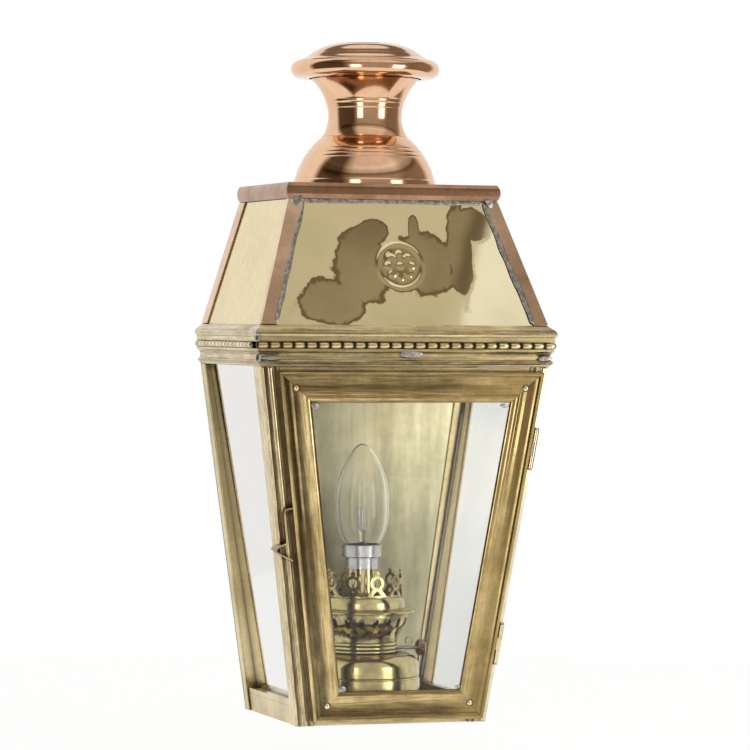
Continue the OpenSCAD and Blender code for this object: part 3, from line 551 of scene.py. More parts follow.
@dataclass(frozen=True)
class ReededMetal(Metal):
    """Brass of the cornice, with painted shade in lines between its reeds."""

    bottom: float = 0.080
    height: float = 0.034
    strength: float = 1.0
    # Brightness by height up the moulding: painted shade in the lines between the reeds
    tones: Stops = (
        (0.0, 0.7), (0.02, 1.0), (0.09, 1.0), (0.115, 0.28), (0.145, 0.24), (0.17, 1.0),
        (0.26, 0.95), (0.29, 0.35), (0.33, 0.32),
        (0.36, 1.0), (0.39, 0.90), (0.42, 0.28), (0.53, 0.28), (0.55, 1.0), (0.655, 1.0),
        (0.675, 0.32), (0.69, 0.85), (0.74, 0.34), (0.77, 1.0), (0.84, 0.8), (0.93, 0.45),
        (0.97, 0.25))
    wander: float = 0.05
    handled: float = 0.55
    handled_tone: Colour = (1.0, 0.96, 0.86)
    streaks: Ramp = (0.30, 0.70, 0.70, 1.16)
    wander_grain: Grain = (60.0, 3.0, 0.6)
    handled_grain: Grain = (45.0, 4.0, 0.65)
    handled_from: Pair = (0.42, 0.75)
    streak_grain: Grain = (700.0, 3.0, 0.6)
    streak_pull: Pull = (0.05, 0.05, 1.0)
    corner_depth: Pair = (0.118, 0.140)
    corner_reach: Ramp = (0.078, 0.104, 0.0, 0.24)
    smear_grain: Grain = (75.0, 4.0, 0.6)
    smear_pull: Pull = (0.6, 0.6, 1.3)
    mottle_grain: Grain = (420.0, 3.0, 0.6)
    mottle_from: Pair = (0.35, 0.65)
    tinned_from: Pair = (0.66, 0.80)
    tinned_share: float = 0.75
    tin: Colour = (0.60, 0.58, 0.52)
    tin_shadow: Colour = (0.26, 0.25, 0.22)

    def worn_and_shaded(self, b: Bench, point: Wire, colour: Wire) -> Wire:
        """Multiplies by painted shade tones read from the height, broken up by streaks along the
        moulding.

        Spots of tin from soldering lie over it, more of them near the two front corners.

        Args:
            b: The material's bench.
            point: Place in the row frame.
            colour: Colour so far.

        Returns:
            The colour with its painted shade, wear and solder.
        """
        wander = (b.noise(point, *self.wander_grain) - 0.5) * self.wander
        z = (b.along(point, Z_AXIS) - self.bottom) / self.height
        # Painted shade: darker tones in the lines between the reeds
        tone = b.read(self.tones, z + wander)
        rubbed = b.noise(point, *self.handled_grain)
        rubbed = rubbed.ramp(*self.handled_from, 1.0 - self.strength, 1.0)
        worn = b.tint(rubbed * self.handled, tone, self.handled_tone)
        streak = b.noise(b.stretched(point, self.streak_pull), *self.streak_grain)
        worn = b.shade(worn, b.grey(streak.ramp(*self.streaks)))
        fore = (0.0 - b.along(point, Y_AXIS)).ramp(*self.corner_depth)
        corner = abs(b.along(point, X_AXIS)).ramp(*self.corner_reach) * fore
        smear = b.noise(b.stretched(point, self.smear_pull), *self.smear_grain)
        tinned = (smear + corner).ramp(*self.tinned_from)
        mottle = b.noise(point, *self.mottle_grain).ramp(*self.mottle_from)
        solder = b.tint(mottle, self.tin, self.tin_shadow)
        return b.tint(tinned * self.tinned_share, b.shade(colour, worn), solder)


@dataclass(frozen=True)
class PostMetal(Metal):
    """Brass of the front posts, with painted shade in grooves beside their reeds."""

    spread: float = 0.1398
    width: float = 0.0125
    # Brightness by distance from the outer edge: painted shade in the grooves beside the reeds
    tones: Stops = (
        (0.0, 1.0), (0.09, 1.0), (0.13, 0.26), (0.26, 0.22), (0.31, 0.9), (0.42, 0.7),
        (0.50, 1.0), (0.62, 0.9), (0.66, 0.25), (0.78, 0.22), (0.83, 0.8), (1.0, 0.5))
    wander: float = 0.10
    streaks: Ramp = (0.30, 0.70, 0.72, 1.15)
    wander_grain: Grain = (45.0, 3.0, 0.6)
    streak_grain: Grain = (600.0, 3.0, 0.6)
    streak_pull: Pull = (1.0, 1.0, 0.06)

    def worn_and_shaded(self, b: Bench, point: Wire, colour: Wire) -> Wire:
        """Multiplies by painted shade tones read from the distance to the post's outer edge.

        The edge lies at |x| = half the foot's width + spread times the height above the foot,
        and streaks run along the post.

        Args:
            b: The material's bench.
            point: Place in the row frame.
            colour: Colour so far.

        Returns:
            The aged colour.
        """
        x, z = (b.along(point, axis) for axis in (X_AXIS, Z_AXIS))
        edge = (z - FOOT_Z * MM) * self.spread + HALF_FOOT * MM
        wander = (b.noise(point, *self.wander_grain) - 0.5) * self.wander
        # Painted shade: darker tones in the grooves beside the reeds
        tone = b.read(self.tones, (edge - abs(x)) / self.width + wander)
        streak = b.noise(b.stretched(point, self.streak_pull), *self.streak_grain)
        worn = b.shade(tone, b.grey(streak.ramp(*self.streaks)))
        return b.shade(colour, worn)


@dataclass(frozen=True)
class PlateMetal(Metal):
    """Half-polished sheet with painted light and shade, brightest at the upper right and darker to
    the left and below, and streaked upright.
    """

    # Painted light and shade: steps that darken the plate to the left and below and brighten it
    # towards the top
    across: Ramp = (-0.020, 0.022, 0.50, 1.0)
    upwards: Ramp = (-0.045, 0.050, 0.56, 1.14)
    streaks: Ramp = (0.32, 0.68, 0.78, 1.14)
    streak_grain: Grain = (75.0, 4.0, 0.6)
    streak_pull: Pull = (1.0, 1.0, 0.12)

    def worn_and_shaded(self, b: Bench, point: Wire, colour: Wire) -> Wire:
        """Multiplies by smooth steps across and up the plate, which paint light and shade, and by
        upright streaks.

        Args:
            b: The material's bench.
            point: Place in the row frame.
            colour: Colour so far.

        Returns:
            The aged colour.
        """
        # Painted light and shade across and up the plate
        across = b.along(point, X_AXIS).ramp(*self.across)
        up = b.along(point, Z_AXIS).ramp(*self.upwards)
        streak = b.noise(b.stretched(point, self.streak_pull), *self.streak_grain)
        return b.shade(colour, b.grey(across * up * streak.ramp(*self.streaks)))


@dataclass(frozen=True)
class FlattenedSheet:
    """Polished roof brass whose slow buckles break up the room's edge in its reflection, and whose
    right side carries a painted sheen.

    Each lobe has its centre and half axes in millimetres from the panel's middle; calm, dip,
    flare and sway are in degrees.
    """

    name: str
    clean: Colour
    worn: Colour
    lobes: Tuple[Tuple[float, float, float, float], ...] = (
        (-49, -27, 22, 15), (-26, -3, 19, 25), (-17, 21, 11, 9), (14, 0, 25, 21),
        (11.5, 21, 4, 11), (42, 8, 9, 33), (53, 27, 13, 12))
    # Colour of the painted sheen on the panel's right side
    pale: Colour = (0.94, 0.86, 0.62)
    calm: float = 1.1
    dip: float = -3.6
    flare: float = 3.2
    sway: float = 1.5
    crinkle: float = 0.9
    shelf: Pair = (-0.18, 0.16)
    side_slant: float = 0.36
    side_from: Pair = (34.0, 60.0)
    side_painted_sheen: float = 0.6
    crinkle_grain: Grain = (75.0, 3.0, 0.55)
    sway_grain: Grain = (24.0, 2.0, 0.5)
    worn_grain: Grain = (16.0, 4.0, 0.6)
    worn_from: Pair = (0.35, 0.7)
    gloss: Ramp = (0.3, 0.7, 0.04, 0.075)

    def build(self) -> bpy.types.Material:
        """Makes the material.

        With x and y in millimetres across and up the panel, each lobe gives 1 - r / R along
        its own ellipse and the largest of them, plus noise, is stepped to 0 or 1. The tilt in
        degrees is calm + dip times that step + flare times a step towards the right + sway
        times slow noise, and the normal is the mesh normal plus the tilt in radians times the
        direction up the panel. The colour pales towards the right by that step, a painted sheen.

        Returns:
            The finished material.
        """
        material, b = blank(self.name)
        point = b.place()
        (low_depth, low_z), (high_depth, high_z) = ROOF_LOW, ROOF_HIGH
        length = math.hypot(low_depth - high_depth, high_z - low_z)
        up = (0.0, (low_depth - high_depth) / length, (high_z - low_z) / length)
        middle = (0.0, -(low_depth + high_depth) / 2, (low_z + high_z) / 2)
        x = b.along(point, X_AXIS) / MM
        y = b.along(point, up) / MM - float(np.dot(middle, up))
        crinkle = (b.noise(point, *self.crinkle_grain) - 0.5) * self.crinkle
        field: Optional[Wire] = None
        for cx, cy, rx, ry in self.lobes:
            reach = ((x - cx) / rx) ** 2.0 + ((y - cy) / ry) ** 2.0
            lobe = 1.0 - reach ** 0.5
            field = lobe if field is None else field.larger(lobe)
        patch = (field + crinkle).ramp(*self.shelf)
        side = (x - y * self.side_slant).ramp(*self.side_from)
        slow = b.noise(point, *self.sway_grain) - 0.5
        tilt = patch * self.dip + side * self.flare + slow * self.sway + self.calm
        mesh_normal = b.node("ShaderNodeNewGeometry", out="Normal")
        turned_up = b.node("ShaderNodeVectorMath", {"operation": "SCALE"},
                           {0: up, "Scale": tilt * math.radians(1.0)})
        leaning = b.node("ShaderNodeVectorMath", {"operation": "ADD"},
                         {0: mesh_normal, 1: turned_up})
        normal = b.node("ShaderNodeVectorMath", {"operation": "NORMALIZE"}, {0: leaning})
        cloud = b.noise(point, *self.worn_grain)
        faded = b.tint(cloud.ramp(*self.worn_from), self.clean, self.worn)
        shader = b.node("ShaderNodeBsdfPrincipled", sockets={
            # Painted sheen: the colour pales towards the panel's right side
            "Base Color": b.tint(side * self.side_painted_sheen, faded, self.pale),
            "Metallic": 1.0,
            "Roughness": cloud.ramp(*self.gloss),
            "Normal": normal,
        })
        b.surface(shader)
        return material


@dataclass(frozen=True)
class Glass:
    """Clear glass that may carry a mirror film on its outer face or a painted sheen at its rim."""

    name: str
    tone: Colour
    index: float
    film: float = 0.0
    layer_tone: float = 0.85
    layer_blue: float = 0.985
    # Share of the painted sheen at the rim, a pale layer where the glass is seen edge-on
    rim: float = 0.0
    film_from: Pair = (0.45, 0.65)
    film_side: float = 0.002
    rim_from: Pair = (0.50, 0.97)
    rim_rough: float = 0.3
    smear_grain: Grain = (40.0, 4.0, 0.6)
    smeared: Ramp = (0.45, 0.8, 0.0, 0.03)
    layer_gloss: Ramp = (0.3, 0.8, 0.04, 0.09)

    def build(self) -> bpy.types.Material:
        """Makes the material.

        The film is a pale mirror on the face that looks away from the middle plane X = 0, with
        a share that is a smooth step of the facing weight, so that it shows only along the
        surface. The rim is a painted sheen: a pale, rougher layer that is no mirror, and its
        share is a wider step of that weight. Shadow rays pass straight through.

        Returns:
            The finished material.
        """
        material, b = blank(self.name)
        point = b.place()
        smear = b.noise(point, *self.smear_grain)
        shader = b.node("ShaderNodeBsdfPrincipled", sockets={
            "Base Color": (*self.tone, 1.0),
            "Roughness": smear.ramp(*self.smeared),
            "Transmission Weight": 1.0,
            "IOR": self.index,
        })
        facing = b.node("ShaderNodeLayerWeight", {}, {"Blend": 0.5}, out="Facing")
        if self.film > 0:
            normal = b.node("ShaderNodeTexCoord", out="Normal")
            outer = b.along(normal, X_AXIS) * b.along(point, X_AXIS)
            share = outer.ramp(0.0, self.film_side) * facing.ramp(*self.film_from) * self.film
            shader = b.between(share, shader, self.layer(b, smear, 1.0, 0.0))
        # Painted sheen: a pale layer at the rim where the glass is seen edge-on
        elif self.rim > 0:
            share = facing.ramp(*self.rim_from) * self.rim
            shader = b.between(share, shader, self.layer(b, smear, 0.0, self.rim_rough))
        clear = b.node("ShaderNodeBsdfTransparent", sockets={"Color": (*self.tone, 1.0)})
        b.surface(b.between(b.ray("Shadow"), shader, clear))
        return material

    def layer(self, b: Bench, smear: Wire, metallic: float, rough: float) -> Wire:
        """The pale layer over the glass: the mirror film, or the painted sheen at the rim.

        Args:
            b: The material's bench.
            smear: Noise that varies the gloss.
            metallic: 1 for a mirror film and 0 for the painted sheen at the rim.
            rough: Roughness added to the gloss.

        Returns:
            The layer's shader.
        """
        tone = self.layer_tone
        return b.node("ShaderNodeBsdfPrincipled", sockets={
            "Base Color": (tone, tone, tone * self.layer_blue, 1.0),
            "Metallic": metallic,
            "Roughness": smear.ramp(*self.layer_gloss) + rough,
        })


@dataclass(frozen=True)
class Dull:
    """A plain non-metal such as rubber or ceramic, mottled and slightly uneven."""

    name: str
    tone: Colour
    worn: Colour
    shine: float
    spread: float = 0.15
    mottle_grain: Grain = (90.0, 4.0, 0.6)
    mottle_from: Pair = (0.35, 0.7)
    gloss_from: Pair = (0.2, 0.8)
    tooth: float = 0.00008
    tooth_waves: float = 900.0

    def build(self) -> bpy.types.Material:
        """Makes the material from two tones, mixed by noise, with a fine bump.

        Returns:
            The finished material.
        """
        material, b = blank(self.name)
        point = b.place()
        cloud = b.noise(point, *self.mottle_grain)
        b.surface(b.node("ShaderNodeBsdfPrincipled", sockets={
            "Base Color": b.tint(cloud.ramp(*self.mottle_from), self.tone, self.worn),
            "Roughness": cloud.ramp(*self.gloss_from, self.shine, self.shine + self.spread),
            "Normal": b.bump(b.noise(point, self.tooth_waves), self.tooth),
        }))
        return material


class Finish(Enum):
    """Every finish on the lantern."""

    POST = PostMetal(
        "post brass", (0.80, 0.67, 0.40), (0.60, 0.48, 0.26), 0.14, 0.27, patches=20.0,
        dents=0.0004, dent_scale=22.0, grime_and_shade=0.95, grime_and_shade_reach=0.006, grime_and_shade_tone=BRASS_GRIME_AND_SHADE)
    CORNICE = ReededMetal(
        "cornice brass", (0.90, 0.76, 0.44), (0.66, 0.53, 0.28), 0.14, 0.25, patches=26.0,
        dents=0.0004, dent_scale=22.0, grime_and_shade=0.95, grime_and_shade_reach=0.006, grime_and_shade_tone=BRASS_GRIME_AND_SHADE)
    RAIL = ReededMetal(
        "cornice side brass", (0.78, 0.66, 0.40), (0.62, 0.50, 0.28), 0.16, 0.3, patches=26.0,
        dents=0.0004, dent_scale=22.0, grime_and_shade=0.8, grime_and_shade_reach=0.005, strength=0.25)
    CASE = Metal(
        "case brass", (0.74, 0.61, 0.34), (0.54, 0.43, 0.22), 0.14, 0.27, patches=20.0,
        dents=0.0004, dent_scale=22.0, scratch=0.000003, grime_and_shade=0.95, grime_and_shade_reach=0.006,
        grime_and_shade_tone=BRASS_GRIME_AND_SHADE)
    DOOR = DoorMetal(
        "door brass", (0.80, 0.62, 0.31), (0.54, 0.40, 0.18), 0.14, 0.25, patches=24.0,
        dents=0.0004, dent_scale=20.0, scratch=0.000003, grime_and_shade=0.9, grime_and_shade_tone=BRASS_GRIME_AND_SHADE)
    FITTING = Metal(
        "fitting brass", (0.64, 0.48, 0.25), (0.36, 0.27, 0.13), 0.16, 0.30, patches=40.0,
        dents=0.0002, dent_scale=40.0, grime_and_shade=0.9)
    STRIP = Metal(
        "polished edge brass", (0.88, 0.78, 0.52), (0.70, 0.58, 0.34), 0.10, 0.2, patches=40.0,
        cover=0.4, dents=0.0002, dent_scale=30.0, grime_and_shade=0.9, grime_and_shade_reach=0.003)
    BEAD_FRONT = BeadMetal(
        "front bead brass", (0.82, 0.68, 0.38), (0.56, 0.44, 0.22), 0.14, 0.24)
    BEAD_SIDE = BeadMetal(
        "side bead brass", (0.82, 0.70, 0.42), (0.62, 0.50, 0.27), 0.2, 0.3, along_y=True,
        gap_shade=0.45)
    PLATE = PlateMetal(
        "wall plate brass", (0.87, 0.78, 0.50), (0.66, 0.60, 0.36), 0.10, 0.17, patches=14.0,
        dents=0.0004, dent_scale=18.0, scratch=0.000004, grime_and_shade=0.4, grime_and_shade_reach=0.006, haze=0.75)
    FRONT_SHEET = FlattenedSheet("front roof brass", (0.86, 0.75, 0.44), (0.79, 0.69, 0.40))
    SHEET = Metal(
        "roof brass", (0.85, 0.72, 0.39), (0.80, 0.66, 0.35), 0.06, 0.10, patches=12.0,
        cover=0.4, grime_and_shade=0.5)
    LAMP = Metal(
        "lamp brass", (0.60, 0.50, 0.24), (0.34, 0.27, 0.12), 0.13, 0.22, patches=40.0,
        cover=0.4, dents=0.0002, dent_scale=40.0, grime_and_shade=0.95, grime_and_shade_reach=0.005,
        grime_and_shade_tone=(0.05, 0.04, 0.02))
    CROWN = Metal(
        "burner brass", (0.58, 0.48, 0.23), (0.20, 0.15, 0.06), 0.14, 0.28, patches=95.0,
        dents=0.0002, dent_scale=60.0, grime_and_shade=0.95, grime_and_shade_tone=(0.05, 0.035, 0.02))
    TRAY = Metal(
        "tray copper", (0.50, 0.29, 0.18), (0.32, 0.18, 0.10), 0.10, 0.2, patches=30.0,
        dents=0.0003, dent_scale=24.0, grime_and_shade=0.8, grime_and_shade_tone=COPPER_GRIME_AND_SHADE)
    COPPER = Metal(
        "spun copper", (0.89, 0.58, 0.375), (0.83, 0.51, 0.31), 0.09, 0.16, patches=14.0,
        cover=0.4, dents=0.00025, dent_scale=20.0, grime_and_shade=0.8, grime_and_shade_tone=(0.12, 0.05, 0.03))
    HIP = Metal(
        "hip copper", (0.90, 0.64, 0.44), (0.70, 0.47, 0.30), 0.12, 0.24, patches=24.0,
        dents=0.0004, dent_scale=24.0, scratch=0.000003, grime_and_shade=0.9, grime_and_shade_reach=0.005,
        grime_and_shade_tone=COPPER_GRIME_AND_SHADE)
    TRIM = Metal(
        "copper trim", (0.78, 0.53, 0.33), (0.50, 0.32, 0.18), 0.12, 0.24, patches=24.0,
        dents=0.0004, dent_scale=24.0, scratch=0.000003, grime_and_shade=0.9, grime_and_shade_reach=0.005,
        grime_and_shade_tone=COPPER_GRIME_AND_SHADE)
    SOLDER = Metal(
        "solder", (0.56, 0.54, 0.49), (0.26, 0.25, 0.23), 0.26, 0.45, patches=330.0,
        dents=0.00012, dent_scale=420.0, grime_and_shade=0.5, grime_and_shade_reach=0.002,
        grime_and_shade_tone=(0.08, 0.075, 0.07))
    NICKEL = Metal(
        "nickel plate", (0.56, 0.545, 0.54), (0.46, 0.445, 0.44), 0.26, 0.34, patches=50.0,
        cover=0.4, grime_and_shade=0.8, grime_and_shade_reach=0.003, grime_and_shade_tone=(0.08, 0.07, 0.06))
    STEEL = Metal(
        "steel", (0.56, 0.55, 0.53), (0.38, 0.36, 0.33), 0.25, 0.4, patches=90.0,
        grime_and_shade=0.5, grime_and_shade_reach=0.003)
    PANE = Glass("pane glass", (0.97, 0.98, 0.97), 1.45, film=1.0)
    WINDOW = Glass("door glass", (0.98, 0.985, 0.98), 1.3)
    # The bulb's rim carries a painted sheen
    BULB = Glass("bulb glass", (0.995, 1.0, 0.99), 1.30, layer_tone=1.0, rim=0.8)
    RUBBER = Dull("rubber", (0.02, 0.02, 0.02), (0.035, 0.034, 0.033), 0.55)
    CERAMIC = Dull("ceramic", (0.78, 0.75, 0.68), (0.70, 0.66, 0.58), 0.35)

    def material(self) -> bpy.types.Material:
        """The finish's material, built the first time it is asked for."""
        found = bpy.data.materials.get(self.value.name)
        return found or self.value.build()


# Surfaces


def arc(start: Sequence[float], end: Sequence[float], sagitta: float, steps: int) -> np.ndarray:
    """Points on an arc whose middle stands to the left of its chord.

    The radius is (l^2 / 4 + s^2) / 2s for a chord l and sagitta s, and the half angle is the
    arcsine of l / 2r; points are the mid-chord plus the normal times (s - r + r cos a) and the
    chord's direction times r sin a.

    Args:
        start: First point.
        end: Last point.
        sagitta: Height of the middle above the chord, to its left.
        steps: Number of straight steps.

    Returns:
        An array of steps + 1 points.
    """
    p, q = np.asarray(start, float), np.asarray(end, float)
    chord = q - p
    length = float(np.hypot(*chord))
    along = chord / length
    left = np.array([-along[1], along[0]])
    radius = (length * length / 4 + sagitta * sagitta) / (2 * sagitta)
    half = math.asin(max(-1.0, min(1.0, length / 2 / radius)))
    a = np.linspace(-half, half, steps + 1)[:, None]
    return (p + q) / 2 + left * (sagitta - radius + radius * np.cos(a)) + along * radius * np.sin(a)


def joined(*parts: Any) -> np.ndarray:
    """Lists of 2-D points joined into one path."""
    return np.vstack([np.atleast_2d(np.asarray(part, float)) for part in parts])


def offset(path: np.ndarray, distance: float) -> np.ndarray:
    """The path moved to its left, along the normal at each point.

    Args:
        path: Points of the path.
        distance: How far it moves.

    Returns:
        The moved points.
    """
    ahead = np.vstack([path[1:], path[-1:]])
    behind = np.vstack([path[:1], path[:-1]])
    run = ahead - behind
    run /= np.linalg.norm(run, axis=1, keepdims=True)
    return path + distance * np.stack([-run[:, 1], run[:, 0]], axis=1)


def walled(path: np.ndarray, thickness: float) -> np.ndarray:
    """Closed outline of a wall that lies to the left of a path."""
    return np.vstack([path, offset(path, thickness)[::-1]])


def noise_along(length: int, seed: int, smooth: int) -> np.ndarray:
    """Seeded noise of unit size, smoothed by a moving mean.

    Args:
        length: Number of values.
        seed: Seed of the generator.
        smooth: Width of the mean.

    Returns:
        Values of about -1 to 1.
    """
    raw = np.random.default_rng(seed).standard_normal(length + 2 * smooth)
    kernel = np.hanning(smooth + 2)[1:-1]
    kernel /= kernel.sum()
    values = np.convolve(raw, kernel, mode="same")[smooth:smooth + length]
    return values / (np.abs(values).max() + 1e-9)


def grid_faces(rows: int, columns: int, close_rows: bool, close_columns: bool) -> np.ndarray:
    """Quads of a grid of points, stored row by row.

    Args:
        rows: Number of rows.
        columns: Number of columns.
        close_rows: Join the last row to the first.
        close_columns: Join the last column to the first.

    Returns:
        Indices of the four corners of every quad.
    """
    i = np.arange(rows if close_rows else rows - 1)
    j = np.arange(columns if close_columns else columns - 1)
    a, b = np.meshgrid(i, j, indexing="ij")
    a2, b2 = (a + 1) % rows, (b + 1) % columns
    corners = (a * columns + b, a * columns + b2, a2 * columns + b2, a2 * columns + b)
    return np.stack([c.ravel() for c in corners], axis=1)


def placed(name: str, data: bpy.types.ID) -> bpy.types.Object:
    """Adds an object to the scene.

    Args:
        name: Its name.
        data: Its mesh, lamp or camera.

    Returns:
        The new object.
    """
    piece = bpy.data.objects.new(name, data)
    bpy.context.scene.collection.objects.link(piece)
    return piece


def solid_piece(
    name: str, points: np.ndarray, faces: Sequence[Any], finish: Finish, crease: float = 32.0,
    weld: float = 1e-6,
) -> bpy.types.Object:
    """Makes an object at the origin from points in millimetres, with its faces outwards.

    Args:
        name: The piece's name.
        points: Points, one row each.
        faces: Corner indices of each face.
        finish: Its finish.
        crease: Edges that turn more than this many degrees stay sharp.
        weld: Points nearer than this many metres become one.

    Returns:
        The new object.
    """
    mesh = bpy.data.meshes.new(name)
    mesh.from_pydata(np.asarray(points, float) * MM, [], [list(map(int, f)) for f in faces])
    shell = bmesh.new()
    shell.from_mesh(mesh)
    bmesh.ops.remove_doubles(shell, verts=shell.verts, dist=weld)
    bmesh.ops.dissolve_degenerate(shell, edges=shell.edges, dist=weld)
    bmesh.ops.recalc_face_normals(shell, faces=shell.faces)
    if shell.calc_volume(signed=True) < 0:
        bmesh.ops.reverse_faces(shell, faces=shell.faces)
    shell.to_mesh(mesh)
    shell.free()
    mesh.shade_smooth()
    mesh.set_sharp_from_angle(angle=math.radians(crease))
    mesh.materials.append(finish.material())
    return placed(name, mesh)


def turned(
    name: str, profile: np.ndarray, centre: Tuple[float, float], finish: Finish, sides: int = 160
) -> bpy.types.Object:
    """A turned piece: its profile carried round an upright axis.

    A profile point (r, z) at angle t goes to (cx + r cos t, cy + r sin t, z).

    Args:
        name: The piece's name.
        profile: Closed outline as radius and height.
        centre: X and Y of the axis.
        finish: Its finish.
        sides: Steps of a full turn.

    Returns:
        The new object.
    """
    t = np.linspace(0, 2 * math.pi, sides, endpoint=False)[:, None]
    r, z = profile[:, 0][None, :], profile[:, 1][None, :]
    points = np.stack(
        [centre[0] + r * np.cos(t), centre[1] + r * np.sin(t), np.broadcast_to(z, (sides, z.size))],
        axis=2,
    )
    faces = grid_faces(sides, profile.shape[0], True, True)
    return solid_piece(name, points.reshape(-1, 3), faces, finish)


def slab(
    name: str, outer: np.ndarray, inner: np.ndarray, finish: Finish, crease: float = 40.0
) -> bpy.types.Object:
    """A closed sheet between two grids of points of the same size.

    Args:
        name: The piece's name.
        outer: Grid of points, rows by columns by 3.
        inner: The same grid, moved through the sheet.
        finish: Its finish.
        crease: Sharp edge angle in degrees.

    Returns:
        The new object.
    """
    rows, columns = outer.shape[:2]
    count = rows * columns
    face = grid_faces(rows, columns, False, False)
    index = np.arange(count).reshape(rows, columns)
    rim = np.concatenate([index[0, :-1], index[:-1, -1], index[-1, :0:-1], index[:0:-1, 0]])
    after = np.roll(rim, -1)
    side = np.stack([rim, rim + count, after + count, after], axis=1)
    points = np.vstack([outer.reshape(-1, 3), inner.reshape(-1, 3)])
    return solid_piece(name, points, np.vstack([face[:, ::-1], face + count, side]), finish, crease)


def together(
    name: str, runs: Sequence[Tuple[np.ndarray, Any]], finish: Finish, crease: float
) -> bpy.types.Object:
    """Joins several closed runs of points and faces into one piece.

    Args:
        name: The piece's name.
        runs: Points and faces of each run.
        finish: Its finish.
        crease: Sharp edge angle in degrees.

    Returns:
        The new object.
    """
    points, faces, count = [], [], 0
    for run_points, run_faces in runs:
        points.append(run_points)
        faces += [[int(k) + count for k in face] for face in run_faces]
        count += len(run_points)
    return solid_piece(name, np.vstack(points), faces, finish, crease)


def worked_copy(
    node: str, finish: Finish, body: str, round_mm: float, crease: float = 32.0,
    weld: float = 2e-6,
) -> bpy.types.Object:
    """A merged copy of a CAD piece with its edges slightly rounded, which stands for it.

    Args:
        node: The CAD piece.
        finish: Its finish.
        body: The body that it rides on.
        round_mm: Width of the rounded edges.
        crease: Edges that turn more than this many degrees are rounded.
        weld: Points nearer than this many metres become one.

    Returns:
        The new object.
    """
    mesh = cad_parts[node].data.copy()
    mesh.name = f"worked_{node}"
    shell = bmesh.new()
    shell.from_mesh(mesh)
    bmesh.ops.remove_doubles(shell, verts=shell.verts, dist=weld)
    shell.to_mesh(mesh)
    shell.free()
    if "custom_normal" in mesh.attributes:
        mesh.attributes.remove(mesh.attributes["custom_normal"])
    mesh.shade_smooth()
    mesh.set_sharp_from_angle(angle=math.radians(crease))
    mesh.materials.clear()
    mesh.materials.append(finish.material())
    piece = placed(f"worked_{node}", mesh)
    if round_mm > 0:
        rounded = piece.modifiers.new("edges", "BEVEL")
        rounded.width = round_mm * MM
        rounded.segments = 2
        rounded.limit_method = "ANGLE"
        rounded.angle_limit = math.radians(crease)
        rounded.harden_normals = True
        rounded.miter_outer = "MITER_ARC"
    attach(piece, body)
    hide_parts(node)
    LOG.info("worked %s in %s", node, finish.value.name)
    return piece


def dress(finish: Finish, *nodes: str) -> None:
    """Gives CAD pieces a finish.

    Args:
        finish: The finish.
        nodes: Names of the pieces.
    """
    for node in nodes:
        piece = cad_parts[node]
        piece.data.materials.clear()
        piece.data.materials.append(finish.material())
        LOG.info("dressed %s in %s", node, finish.value.name)


def stands_for(piece: bpy.types.Object, body: str, slot: str, *nodes: str) -> bpy.types.Object:
    """Puts a new piece on its body and hides what it stands for.

    Args:
        piece: The new piece.
        body: The body that it rides on.
        slot: The record's material slot; not used.
        nodes: CAD pieces that it stands for.

    Returns:
        The same piece.
    """
    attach(piece, body)
    if nodes:
        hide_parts(*nodes)
    LOG.info("made %s on %s for %s", piece.name, body, ", ".join(nodes) or "no CAD piece")
    return piece


# Studio


@dataclass
class Softbox:
    """A rectangular lamp that faces the lantern, upright but for a slight tilt.

    Azimuth is in degrees, where 0 is the front, and lengths are in metres.
    """

    name: str
    azimuth: float
    width: float
    height: float = 1.0
    distance: float = 1.5
    centre_z: float = 0.06
    radiance: float = 2.5
    aim: Point = (0.0, -0.07, 0.05)

    def build(self) -> None:
        """Places the lamp; its power is radiance times pi times its area."""
        lamp = bpy.data.lights.new(self.name, "AREA")
        lamp.shape = "RECTANGLE"
        lamp.size, lamp.size_y = self.width, self.height
        lamp.energy = self.radiance * math.pi * self.width * self.height
        piece = placed(self.name, lamp)
        angle = math.radians(self.azimuth)
        spot = Vector((math.sin(angle), -math.cos(angle), 0.0)) * self.distance
        spot.z = self.centre_z
        piece.location = spot
        piece.rotation_euler = (Vector(self.aim) - spot).to_track_quat("-Z", "Y").to_euler()
        piece.visible_camera = False


